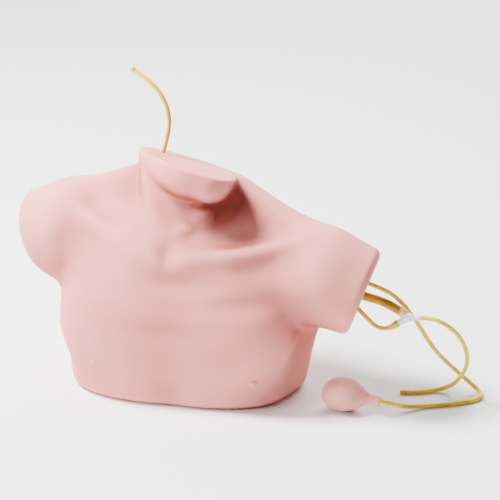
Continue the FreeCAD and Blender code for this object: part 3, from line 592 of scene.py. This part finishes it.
# %% Push a ball out to a surface
PUSH_START = 4.0
PUSH_ROUNDS = 90
PUSH_SHARE = 0.75
PUSH_LIMIT = 30.0
SLOPE_STEP = 0.4
LEAST_SQUARE = 0.05
NUDGE_LIMIT = 2.0


def ball_on_surface(bm, centre, subdivisions, surface):
    """Adds a ball of even triangles and pushes it out from a centre to a surface."""
    made = bmesh.ops.create_icosphere(bm, subdivisions=subdivisions, radius=1.0)
    ways = np.array([vert.co.normalized()[:] for vert in made["verts"]])
    reach = np.full(len(ways), PUSH_START)
    for _ in range(PUSH_ROUNDS):
        outside = surface(np.array(centre) + ways * reach[:, None])
        reach -= np.clip(outside, -PUSH_LIMIT, PUSH_LIMIT) * PUSH_SHARE
    places = np.array(centre) + ways * reach[:, None]
    for vert, place in zip(made["verts"], places):
        vert.co = place


def slope(surface, places):
    """Which way and how fast the distance from a surface grows at each place."""
    sides = []
    for axis in range(3):
        nudge = np.zeros(3)
        nudge[axis] = SLOPE_STEP
        sides.append((surface(places + nudge) - surface(places - nudge)) / (2.0 * SLOPE_STEP))
    return np.stack(sides, axis=1)


def drawn_to_surface(surface, places, rounds):
    """Places moved down or up the slope until they lie on the surface."""
    for _ in range(rounds):
        rise = slope(surface, places)
        square = np.maximum((rise * rise).sum(axis=1), LEAST_SQUARE)
        nudge = np.clip(surface(places) / square, -NUDGE_LIMIT, NUDGE_LIMIT)
        places = places - nudge[:, None] * rise
    return places


# %% [markdown]
# Every modelled piece is drawn in millimetres and becomes an object in metres of the frame. Its
# modifiers are baked into the mesh, and its corners can be read and set in bulk, which is what
# lets numpy draw them to the surface.

# %% Finished objects at the origin
def piece(name, bm):
    """A finished object at the origin from a mesh in layout millimetres."""
    bmesh.ops.translate(bm, verts=bm.verts, vec=SHIFT)
    bmesh.ops.scale(bm, verts=bm.verts, vec=(MILLIMETRE,) * 3)
    mesh = bpy.data.meshes.new(name)
    bm.to_mesh(mesh)
    bm.free()
    mesh.shade_smooth()
    thing = bpy.data.objects.new(name, mesh)
    bpy.context.scene.collection.objects.link(thing)
    return thing


def settled(thing):
    """Bakes an object's modifiers into its mesh."""
    bpy.context.view_layer.update()
    graph = bpy.context.evaluated_depsgraph_get()
    mesh = bpy.data.meshes.new_from_object(thing.evaluated_get(graph))
    thing.modifiers.clear()
    thing.data = mesh
    return thing


def remeshed(thing, voxel):
    """Melts an object's closed shells into one, on a grid of voxels given in millimetres."""
    melt = thing.modifiers.new("melt", "REMESH")
    melt.mode = "VOXEL"
    melt.voxel_size = voxel * MILLIMETRE
    return settled(thing)


def layout_points(mesh):
    """A mesh's corners in millimetres of the layout."""
    co = np.empty(len(mesh.vertices) * 3)
    mesh.vertices.foreach_get("co", co)
    return co.reshape(-1, 3) / MILLIMETRE - np.array(SHIFT)


def set_layout_points(mesh, places):
    mesh.vertices.foreach_set("co", ((places + np.array(SHIFT)) * MILLIMETRE).ravel())
    mesh.update()


def relaxed(mesh, factor):
    """Evens out the spacing of a mesh's corners."""
    bm = bmesh.new()
    bm.from_mesh(mesh)
    bmesh.ops.smooth_vert(
        bm, verts=bm.verts, factor=factor, use_axis_x=True, use_axis_y=True, use_axis_z=True
    )
    bm.to_mesh(mesh)
    bm.free()


# %% [markdown]
# The remesh leaves corners about 2.4 mm apart, which is fine enough for flesh but not for the
# nipple buds, so the edges round each bud are split twice before the last drawing.

# %% The skin's outside
BODY_CENTRE = (0.0, 5.0, 122.0)
JAW_CENTRE = (4.0, 4.0, 250.0)
BODY_FINENESS = 6
JAW_FINENESS = 5
SKIN_VOXEL = 2.4
EVEN_OUT = 0.5
BUD_REACH = 2.6
BUD_SPLITS = 2


def drawn(thing, rounds):
    """Draws an object's corners onto the whole bust."""
    set_layout_points(thing.data, drawn_to_surface(whole_bust, layout_points(thing.data), rounds))


bm = bmesh.new()
ball_on_surface(bm, BODY_CENTRE, BODY_FINENESS, body_alone)
ball_on_surface(bm, JAW_CENTRE, JAW_FINENESS, jaw_alone)
bust = remeshed(piece("bust_skin", bm), SKIN_VOXEL)
drawn(bust, 3)
relaxed(bust.data, EVEN_OUT)
drawn(bust, 2)
bm = bmesh.new()
bm.from_mesh(bust.data)
for spot, radius in NIPPLES:
    spot = metres(spot)
    around = BUD_REACH * radius * MILLIMETRE
    for _ in range(BUD_SPLITS):
        near = [edge for edge in bm.edges if (edge.verts[0].co - spot).length < around]
        bmesh.ops.subdivide_edges(bm, edges=near, cuts=1, use_grid_fill=True)
bmesh.ops.triangulate(bm, faces=[face for face in bm.faces if len(face.verts) > 4])
bm.to_mesh(bust.data)
bm.free()
drawn(bust, 2)
print("skin outside", len(bust.data.polygons), "faces")

# %% [markdown]
# The real skin is hollow, with a wall of about five millimetres. The inside is a second, coarser
# ball pushed out to the depth of the wall and turned inside out. It follows the body without its
# hollows, so the wall is thinner under them.

# %% The skin's inside
INSIDE_FINENESS = 5

bm = bmesh.new()
ball_on_surface(bm, BODY_CENTRE, INSIDE_FINENESS, inside)
bmesh.ops.reverse_faces(bm, faces=bm.faces)
inner = piece("inner_wall", bm)
bm = bmesh.new()
bm.from_mesh(bust.data)
bm.from_mesh(inner.data)
bm.to_mesh(bust.data)
bm.free()
bpy.data.objects.remove(inner)
print("with its inside", len(bust.data.polygons), "faces")

# %% [markdown]
# The moulding has an oval opening underneath, which a hard panel closes, and four round ports for
# the tubes' sleeves. They are cut through both sides of the wall with solid cutters, and a count
# of open edges tells whether the wall is still closed.

# %% Cut the opening and the ports
ROD_STEPS = 48
OVAL_STEPS = 96


def cutter_rod(bm, start, end, radius, segments=ROD_STEPS):
    """Adds a closed round bar between two points."""
    way = Vector(end) - Vector(start)
    stand = way.to_track_quat("Z", "Y").to_matrix().to_4x4()
    stand.translation = (Vector(start) + Vector(end)) / 2.0
    made = bmesh.ops.create_cone(
        bm,
        cap_ends=True,
        segments=segments,
        radius1=radius,
        radius2=radius,
        depth=way.length,
        matrix=stand,
    )
    return made["verts"]


OPENING = (98.0, 42.0)
OPENING_CENTRE = Vector((-7.0, 0.0, 0.0))
OPENING_TURN = math.radians(-6.0)
SLEEVE_WALL = 2.15
PAST_WALL = 1.5
PAST_FLOOR = 3.0
PAST_FACE = 2.0

bm = bmesh.new()
oval = cutter_rod(bm, (0.0, 0.0, -PAST_FLOOR), (0.0, 0.0, SKIN_WALL + PAST_WALL), 1.0, OVAL_STEPS)
bmesh.ops.scale(bm, verts=oval, vec=(*OPENING, 1.0))
bmesh.ops.rotate(bm, verts=oval, cent=(0.0, 0.0, 0.0), matrix=Matrix.Rotation(OPENING_TURN, 3, "Z"))
bmesh.ops.translate(bm, verts=oval, vec=OPENING_CENTRE)
for port, normal, diameter in (
    (BULB_PORT, ARM_NORMAL, THIN),
    (VEIN_PORT, ARM_NORMAL, THICK),
    (LINK_PORT, ARM_NORMAL, THIN),
    (NECK_PORT, NECK_NORMAL, THIN),
):
    deep, clear = port - normal * (SKIN_WALL + PAST_WALL), port + normal * PAST_FACE
    cutter_rod(bm, deep, clear, 0.5 * diameter + SLEEVE_WALL)
cutters = piece("cutters", bm)
cut = bust.modifiers.new("cut", "BOOLEAN")
cut.operation = "DIFFERENCE"
cut.solver = "EXACT"
cut.object = cutters
settled(bust)
bpy.data.objects.remove(cutters)
bust.data.shade_smooth()
bm = bmesh.new()
bm.from_mesh(bust.data)
open_edges = sum(1 for edge in bm.edges if not edge.is_manifold)
bm.free()
print("bust", len(bust.data.polygons), "faces, open edges", open_edges)

# %% [markdown]
# Painted shade: the vinyl is painted a deep red where flesh closes in, standing in for the shade
# and the red bounced light in hollows and creases. To give the finish something to work with, each
# corner of the mesh is told how closed in it is: the distance function is sampled a few steps out
# along the skin's slope, and where it grows more slowly than the steps, there is flesh close by.

# %% How much painted shade each place gets
# Each reach is a distance along the slope and its share in the total.
PAINTED_SHADE_REACHES = ((8.0, 0.15), (20.0, 0.20), (45.0, 0.30), (85.0, 0.35))


def bare_skin(places):
    """The cut skin without nipple buds, which are too small to count in the painted shade."""
    return trimmed(bare_bust(places), places)


def painted_shade(places):
    """How much of the room in front of each place is taken up by flesh, from 0 to 1."""
    rise = slope(bare_skin, places)
    ways = rise / np.maximum(np.linalg.norm(rise, axis=1), LEAST_SLOPE)[:, None]
    total = np.zeros(len(places))
    for distance, weight in PAINTED_SHADE_REACHES:
        clear = bare_skin(places + ways * distance) / distance
        total += weight * np.clip(1.0 - clear, 0.0, 1.0)
    return total


painted_shade_amounts = painted_shade(layout_points(bust.data))
painted_shade_layer = bust.data.attributes.new("painted_shade", "FLOAT", "POINT")
painted_shade_layer.data.foreach_set("value", painted_shade_amounts)
print("shelter from", round(painted_shade_amounts.min(), 2), "to", round(painted_shade_amounts.max(), 2))

# %% [markdown]
# The vinyl itself: two flesh tones that wander in patches as wide as a hand, a fainter and finer
# mottling, a deep red painted shade in closed-in places, and the fine orange peel that a sandblasted
# mould leaves. It is matt, with a weak and wide gloss.

# %% Vinyl
HAND_WIDE = 11.0
MOTTLE = 160.0
ORANGE_PEEL = 700.0
SLOW_WAVES = 60.0


def vinyl(name, deep, pale, painted_shade_tone):
    """Soft matt vinyl between two tones, with painted shade in its hollows if a shade tone is given."""
    material, shader, places = finish(name, 0.64, 0.12)
    links = material.node_tree.links
    patches = spread(material, noise(material, places, HAND_WIDE, 2.0), 0.35, 0.65)
    mottle = spread(material, noise(material, places, MOTTLE, 4.0), 0.3, 0.7, 0.0, 0.22)
    tone = mixed(material, patches, deep, pale)
    tone = mixed(material, mottle, tone, deep)
    if painted_shade_tone:
        # Painted shade: the tone is pulled towards a deep red where the baked attribute says flesh
        # closes in.
        painted_shade_node = material.node_tree.nodes.new("ShaderNodeAttribute")
        painted_shade_node.attribute_name = "painted_shade"
        painted_shade_share = spread(material, painted_shade_node.outputs["Fac"], 0.06, 0.46)
        tone = mixed(material, painted_shade_share, tone, painted_shade_tone)
    links.new(tone, shader.inputs["Base Color"])
    peel = noise(material, places, ORANGE_PEEL, 2.0)
    waves = noise(material, places, SLOW_WAVES, 2.0)
    soft = bumped(material, waves, 0.10, 0.0008)
    links.new(bumped(material, peel, 0.10, 0.0002, soft), shader.inputs["Normal"])
    links.new(spread(material, waves, 0.3, 0.7, 0.58, 0.70), shader.inputs["Roughness"])
    lit_through(shader, 0.3, (1.0, 0.32, 0.2), 0.009)
    return material


# The third tone of the bust is painted shade, a deep red for hollows and creases.
bust_vinyl = vinyl("bust_vinyl", (0.68, 0.225, 0.195), (0.74, 0.275, 0.24), (0.32, 0.065, 0.05))
# Painted light: the bulb's vinyl is paler than the bust's, standing in for light that the bust's shadow
# keeps off the bulb.
bulb_vinyl_painted_light = vinyl("bulb_vinyl_painted_light", (0.68, 0.275, 0.24), (0.76, 0.33, 0.29), None)
dress(bust, bust_vinyl)
print("vinyl on", bust.name)

# %% [markdown]
# A real tube's cut end shows its wall and its bore. Each end is a short bar whose front face is
# inset by the wall and pushed back inside, and the sharp outer corner is taken off.

# %% Cut tube ends
TUBE_WALL = 1.0
END_PROUD = 0.02
END_STEPS = 40
BORE_FLOOR = 1.5
FLAT_ENOUGH = 0.01
SHARP_ANGLE = 1.0
RIM_ROUND = 0.22


def bored_end(name, route, diameter, material):
    """The open end of a tube: a short bar with a bore sunk into its front face."""
    before, last = Vector(route[-2]), Vector(route[-1])
    way = (last - before).normalized()
    bm = bmesh.new()
    cutter_rod(bm, last - way * MOUTH_LENGTH, last, 0.5 * diameter + END_PROUD, END_STEPS)
    bm.faces.ensure_lookup_table()
    front = max(bm.faces, key=lambda face: face.calc_center_median().dot(way))
    bmesh.ops.inset_region(bm, faces=[front], thickness=TUBE_WALL, use_even_offset=True)
    pushed = bmesh.ops.extrude_face_region(bm, geom=[front])
    bmesh.ops.delete(bm, geom=[front], context="FACES")
    deep = [item for item in pushed["geom"] if isinstance(item, bmesh.types.BMVert)]
    bmesh.ops.translate(bm, verts=deep, vec=-way * (MOUTH_LENGTH - BORE_FLOOR))
    rims = [
        edge
        for edge in bm.edges
        if len(edge.link_faces) == 2
        and all(abs((v.co - last).dot(way)) < FLAT_ENOUGH for v in edge.verts)
        and edge.calc_face_angle() > SHARP_ANGLE
    ]
    bmesh.ops.bevel(
        bm, geom=rims, offset=RIM_ROUND, segments=2, profile=0.5, material=-1, affect="EDGES"
    )
    bmesh.ops.recalc_face_normals(bm, faces=bm.faces)
    end = piece(name, bm)
    dress(end, material)
    return end


neck_end = bored_end("neck_line_end", NECK_ROUTE, THIN, thin_latex)
loop_end = bored_end("loop_line_end", LOOP_ROUTE, THIN, thin_latex)
print("ends", len(neck_end.data.polygons), len(loop_end.data.polygons), "faces")

# %% [markdown]
# Where a tube is pushed over a leg of the Y, the latex stretches: the link line swells over the
# barbs, and the thick hose ends in a rolled cuff. Both are turned shapes, so each is a profile of
# a few points spun about the tube's own end.

# %% Spin a profile about a line
WELD = 0.005
CUFF_STEPS = 56


def lathed(bm, start, way, profile, segments=ROD_STEPS):
    """Spins (along, radius) points about a line from start, and closes the poles."""
    stand = Vector(way).normalized().to_track_quat("Z", "Y").to_matrix().to_4x4()
    stand.translation = Vector(start)
    verts = [bm.verts.new(stand @ Vector((radius, 0.0, along))) for along, radius in profile]
    edges = [bm.edges.new(pair) for pair in zip(verts, verts[1:])]
    axis = (stand.to_3x3() @ Vector((0.0, 0.0, 1.0))).normalized()
    bmesh.ops.spin(
        bm, geom=verts + edges, cent=start, axis=axis, angle=math.tau, steps=segments, use_merge=True
    )
    bmesh.ops.remove_doubles(bm, verts=bm.verts, dist=WELD)
    bmesh.ops.recalc_face_normals(bm, faces=bm.faces)


def closed_ring(points):
    """The points with the first one repeated at the end."""
    return list(points) + [points[0]]


LINK_WAY = (Y_LINK_END - Vector(LINK_ROUTE[-2])).normalized()
LINK_SWELL = closed_ring([
    (-13.0, 2.45),
    (-11.0, 2.75),
    (-8.6, 3.5),
    (-7.4, 3.65),
    (-6.6, 4.0),
    (-5.8, 3.8),
    (-4.8, 4.2),
    (-3.8, 3.95),
    (-2.8, 4.25),
    (-1.8, 4.0),
    (-1.0, 4.2),
    (-0.3, 4.1),
    (0.0, 3.8),
    (0.0, 2.3),
])
bm = bmesh.new()
lathed(bm, Y_LINK_END, LINK_WAY, LINK_SWELL)
link_swell = piece("link_swell", bm)
dress(link_swell, thin_latex)

VEIN_WAY = (Y_VEIN_END - Vector(VEIN_ROUTE[-2])).normalized()
HOSE_CUFF = closed_ring([
    (-3.0, 4.95),
    (-2.8, 5.35),
    (-2.2, 5.7),
    (-1.4, 5.75),
    (-0.8, 5.5),
    (0.0, 5.6),
    (0.7, 5.85),
    (1.5, 5.9),
    (2.2, 5.6),
    (2.5, 5.1),
    (2.5, 3.2),
    (-0.2, 3.2),
    (-0.2, 4.6),
])
bm = bmesh.new()
lathed(bm, Y_VEIN_END, VEIN_WAY, HOSE_CUFF, CUFF_STEPS)
hose_cuff = piece("hose_cuff", bm)
cuff_latex = latex("cuff_latex", (0.70, 0.36, 0.03), (0.88, 0.60, 0.12), 0.4)
dress(hose_cuff, cuff_latex)
print("swell", len(link_swell.data.polygons), "and cuff", len(hose_cuff.data.polygons), "faces")

# %% [markdown]
# The Y connector is one milky moulding: a flat three-cornered web between short round legs, with
# a collar on the leg that feeds the loop. Legs and web are made as separate closed bars, a fine
# voxel remesh melts them together, and a little smoothing gives the soft corners of a moulding.

# %% Y connector
LOOP_WAY = (Vector(LOOP_ROUTE[1]) - Y_LOOP_END).normalized()
WEB_CORNERS = (
    Y_VEIN_END + Vector((3.0, 0.0, 0.6)),
    Y_LINK_END + Vector((-0.6, 0.0, 1.6)),
    Y_LINK_END + Vector((3.4, 0.0, -1.2)),
    Y_LOOP_END + Vector((-3.0, 0.0, -2.0)),
    Y_LOOP_END + Vector((-3.0, 0.0, 2.2)),
)
WEB_THICK = 5.0
LEG_STEPS = 32
VEIN_LEG_ROUND = 3.6
LINK_LEG_ROUND = 3.1
LOOP_LEG_ROUND = 2.9
LOOP_COLLAR_ROUND = 3.4
LOOP_COLLAR_REACH = 4.2
Y_VOXEL = 0.35
Y_SMOOTHINGS = 3

bm = bmesh.new()
vein_leg_end = Y_VEIN_END + (Y_CENTRE - Y_VEIN_END) * 0.05
loop_leg_end = Y_LOOP_END - LOOP_WAY * 0.5
collar_start = Y_LOOP_END - LOOP_WAY * 1.0
collar_end = Y_LOOP_END + LOOP_WAY * LOOP_COLLAR_REACH
cutter_rod(bm, Y_CENTRE, vein_leg_end, VEIN_LEG_ROUND, LEG_STEPS)
cutter_rod(bm, Y_CENTRE, Y_LINK_END, LINK_LEG_ROUND, LEG_STEPS)
cutter_rod(bm, Y_CENTRE, loop_leg_end, LOOP_LEG_ROUND, LEG_STEPS)
cutter_rod(bm, collar_start, collar_end, LOOP_COLLAR_ROUND, LEG_STEPS)
web = [bm.verts.new(corner - Vector((0.0, 0.5 * WEB_THICK, 0.0))) for corner in WEB_CORNERS]
face = bm.faces.new(web)
grown = bmesh.ops.extrude_face_region(bm, geom=[face], use_keep_orig=True)
lifted = [item for item in grown["geom"] if isinstance(item, bmesh.types.BMVert)]
bmesh.ops.translate(bm, verts=lifted, vec=(0.0, WEB_THICK, 0.0))
bmesh.ops.recalc_face_normals(bm, faces=bm.faces)
y_piece = remeshed(piece("y_body", bm), Y_VOXEL)
for _ in range(Y_SMOOTHINGS):
    relaxed(y_piece.data, EVEN_OUT)
y_piece.data.shade_smooth()
print("Y connector", len(y_piece.data.polygons), "faces")


# %% [markdown]
# The Y's plastic is milky rather than clear: a little light passes straight through, and more is
# scattered inside, with a faint lilac cloud and a frosted surface.

# %% Milky moulding
CLOUD = 260.0
FROST = 1800.0


def milky(name):
    """Milky plastic with a clouded tone and a frosted surface."""
    material, shader, places = finish(name, 0.34, 0.5)
    links = material.node_tree.links
    cloud = spread(material, noise(material, places, CLOUD), 0.35, 0.65)
    tone = mixed(material, cloud, (0.78, 0.70, 0.76), (0.92, 0.88, 0.91))
    links.new(tone, shader.inputs["Base Color"])
    frost = noise(material, places, FROST, 2.0)
    links.new(bumped(material, frost, 0.15, 0.0001), shader.inputs["Normal"])
    links.new(spread(material, cloud, 0.0, 1.0, 0.26, 0.42), shader.inputs["Roughness"])
    shader.inputs["Transmission Weight"].default_value = 0.2
    shader.inputs["IOR"].default_value = 1.5
    lit_through(shader, 0.3, (1.0, 0.9, 1.0), 0.002)
    return material


dress(y_piece, milky("milky_moulding"))
print("milky plastic on", y_piece.name)

# %% [markdown]
# The squeeze bulb is an egg of the same soft vinyl, drawn out into a short collar with a lip that
# grips its tube. Its outline is two Bezier arcs, sampled by Blender's own interpolation and spun
# about the bulb's axis. Soft vinyl sags a little under its own weight, so the egg is flattened
# towards the table, and one level of subdivision rounds the facets away.

# %% Squeeze bulb
THROAT_ROUND = 5.5
RISE_POINTS = 15
DROP_POINTS = 17


def bulb_outline():
    """(along, radius) points of the egg, from its nose over its crown to its throat."""
    nose = Vector((0.0, 0.0, 0.0))
    crown = Vector((BULB_FATTEST, BULB_ROUND, 0.0))
    throat = Vector((BULB_LENGTH, THROAT_ROUND, 0.0))
    fall = throat.x - crown.x
    leave_nose = Vector((0.0, 0.6 * BULB_ROUND, 0.0))
    reach_crown = Vector((0.42 * crown.x, BULB_ROUND, 0.0))
    leave_crown = Vector((crown.x + 0.56 * fall, BULB_ROUND, 0.0))
    reach_throat = Vector((throat.x - 0.24 * fall, THROAT_ROUND, 0.0))
    rise = geometry.interpolate_bezier(nose, leave_nose, reach_crown, crown, RISE_POINTS)
    drop = geometry.interpolate_bezier(crown, leave_crown, reach_throat, throat, DROP_POINTS)
    return [(point.x, point.y) for point in rise + drop[1:]]


COLLAR = [
    (59.5, 5.4),
    (65.2, 5.4),
    (66.0, 5.65),
    (66.9, 6.0),
    (67.9, 5.95),
    (68.3, 5.5),
    (68.2, 3.4),
    (67.4, 2.75),
    (63.0, 2.6),
    (61.0, 2.5),
    (61.0, 0.0),
]
SAG = 0.11
BULB_STEPS = 64

bm = bmesh.new()
lathed(bm, BULB_END, BULB_AXIS, bulb_outline() + COLLAR, BULB_STEPS)
for vert in bm.verts:
    along = (vert.co - BULB_END).dot(BULB_AXIS)
    vert.co.z *= 1.0 - SAG * max(0.0, 1.0 - along / BULB_LENGTH)
bulb = piece("pulse_bulb", bm)
round_off = bulb.modifiers.new("round_off", "SUBSURF")
round_off.levels = 1
round_off.render_levels = 1
settled(bulb)
dress(bulb, bulb_vinyl_painted_light)
print("bulb", len(bulb.data.polygons), "faces")

# %% [markdown]
# The pieces that stay as the CAD made them get finishes of their own: the hard closing panel, the
# rubber sleeves in the ports, and what lies inside. Nothing inside shows in use, but each has its
# true look: open foam, bone-coloured plastic, hard joints.

# %% Finishes of the carried-over pieces
def moulded(name, deep, pale, roughness, grain, depth):
    """Plain hard or rubbery mouldings: wandering tone, an even grain and uneven gloss."""
    material, shader, places = finish(name, roughness)
    links = material.node_tree.links
    wander = spread(material, noise(material, places, 45.0), 0.35, 0.65)
    links.new(mixed(material, wander, deep, pale), shader.inputs["Base Color"])
    fine = noise(material, places, grain, 2.0)
    links.new(bumped(material, fine, 0.2, depth), shader.inputs["Normal"])
    uneven = spread(material, fine, 0.3, 0.7, roughness - 0.06, roughness + 0.06)
    links.new(uneven, shader.inputs["Roughness"])
    return material


def open_foam(name):
    """Yellowed foam with open cells as sunk pores, painted darker as shade inside them."""
    material, shader, places = finish(name, 0.92, 0.2)
    links = material.node_tree.links
    cells = material.node_tree.nodes.new("ShaderNodeTexVoronoi")
    cells.inputs["Scale"].default_value = 900.0
    links.new(places, cells.inputs["Vector"])
    pore_depth_and_painted_shade = spread(material, cells.outputs["Distance"], 0.1, 0.6)
    yellowed = mixed(material, noise(material, places, 14.0), (0.72, 0.62, 0.40), (0.86, 0.80, 0.62))
    # Painted shade: the sunk pores get a darker tone for the shade inside the open cells.
    links.new(mixed(material, pore_depth_and_painted_shade, (0.50, 0.42, 0.26), yellowed), shader.inputs["Base Color"])
    links.new(bumped(material, pore_depth_and_painted_shade, 0.7, 0.0006), shader.inputs["Normal"])
    return material


panel_finish = moulded("panel_finish", (0.62, 0.32, 0.27), (0.70, 0.40, 0.34), 0.5, 900.0, 0.0002)
sleeve_rubber = moulded("sleeve_rubber", (0.60, 0.30, 0.20), (0.70, 0.38, 0.27), 0.6, 1100.0, 0.0001)
bone_plastic = moulded("bone_plastic", (0.76, 0.70, 0.56), (0.86, 0.82, 0.70), 0.45, 500.0, 0.0002)
joint_plastic = moulded("joint_plastic", (0.68, 0.68, 0.66), (0.80, 0.80, 0.79), 0.3, 1300.0, 0.0001)
stopper_rubber = moulded(
    "stopper_rubber", (0.045, 0.043, 0.04), (0.08, 0.077, 0.073), 0.6, 1100.0, 0.0001
)
foam = open_foam("open_foam")

CARRIED_OVER = {
    "base_panel": panel_finish,
    "foam_core": foam,
    "sternum": bone_plastic,
    "clavicle_left": bone_plastic,
    "clavicle_right": bone_plastic,
    "vein_hub": joint_plastic,
    "neck_joint": joint_plastic,
    "subclavian_plug": stopper_rubber,
    "artery_plug": stopper_rubber,
    "bulb_line_sleeve": sleeve_rubber,
    "vein_sleeve": sleeve_rubber,
    "return_sleeve": sleeve_rubber,
    "neck_sleeve": sleeve_rubber,
    "vein_limb": thick_latex,
    "jugular_vein": thick_latex,
    "subclavian_vein": thick_latex,
    "return_line": thin_latex,
    "artery": thin_latex,
    "neck_lead": thin_latex,
}
for name, material in CARRIED_OVER.items():
    dress(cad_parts[name], material)
print("carried over", len(CARRIED_OVER))

# %% [markdown]
# Each new piece hides the solid it stands for, where it has one, and moves with the one body of
# this object.

# %% What each piece stands for
for thing, node, slot in (
    (bust, "torso_skin", "skin"),
    (neck_tube, "neck_tube", "thin_tube"),
    (vein_tube, "vein_tube", "thick_tube"),
    (link_tube, "link_tube", "thin_tube"),
    (loop_tube, "loop_tube", "thin_tube"),
    (bulb_tube, "bulb_line", "thin_tube"),
    (y_piece, "y_connector", "clear_fitting"),
    (bulb, "squeeze_bulb", "bulb"),
    (neck_end, None, "thin_tube"),
    (loop_end, None, "thin_tube"),
    (link_swell, None, "thin_tube"),
    (hose_cuff, None, "thick_tube"),
):
    if node:
        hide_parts(node)
    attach(thing, "root")
print("all pieces ride on the root body")

# %% [markdown]
# The tubes are free cords. The thick hose is shorter than six of its diameters, which is a stub and
# not a cord.

# %% Cord facts
print("four free cords and one stub")

# %% [markdown]
# A plain pale floor and studio light: one strong soft light from the upper left, as in a product
# photograph, a weak one low at the left front, a wide one that brightens the floor behind, and a
# dim white room. The dimmer the room, the deeper the red in the hollows.

# %% Floor and light
FLOOR_HALF = 6.0
LIT_POINT = Vector((0.0, 0.0, 0.12))
FLOOR_BEHIND = Vector((0.2, 2.2, 0.0))
ROOM_LIGHT = 0.20

bm = bmesh.new()
bmesh.ops.create_grid(bm, x_segments=1, y_segments=1, size=FLOOR_HALF)
mesh = bpy.data.meshes.new("floor")
bm.to_mesh(mesh)
bm.free()
floor = bpy.data.objects.new("floor", mesh)
bpy.context.scene.collection.objects.link(floor)
dress(floor, moulded("floor_paint", (0.86, 0.86, 0.86), (0.88, 0.88, 0.88), 0.8, 200.0, 0.0001))


def soft_light(name, place, size, power, aim=LIT_POINT):
    """A round soft light of a size in metres and a power in watts, aimed at a place."""
    data = bpy.data.lights.new(name, "AREA")
    data.shape = "DISK"
    data.size = size
    data.energy = power
    light = bpy.data.objects.new(name, data)
    light.location = place
    light.rotation_euler = (Vector(place) - aim).to_track_quat("Z", "Y").to_euler()
    bpy.context.scene.collection.objects.link(light)


soft_light("key", (-1.02, -0.28, 1.86), 0.6, 215.0)
soft_light("fill", (-1.25, -1.0, 0.85), 0.9, 29.0)
soft_light("back", (0.3, 3.4, 2.6), 3.2, 290.0, FLOOR_BEHIND)
world = bpy.data.worlds.new("studio")
world.use_nodes = True
background = world.node_tree.nodes["Background"]
background.inputs["Color"].default_value = (1.0, 1.0, 1.0, 1.0)
background.inputs["Strength"].default_value = ROOM_LIGHT
bpy.context.scene.world = world
print("room at", ROOM_LIGHT)
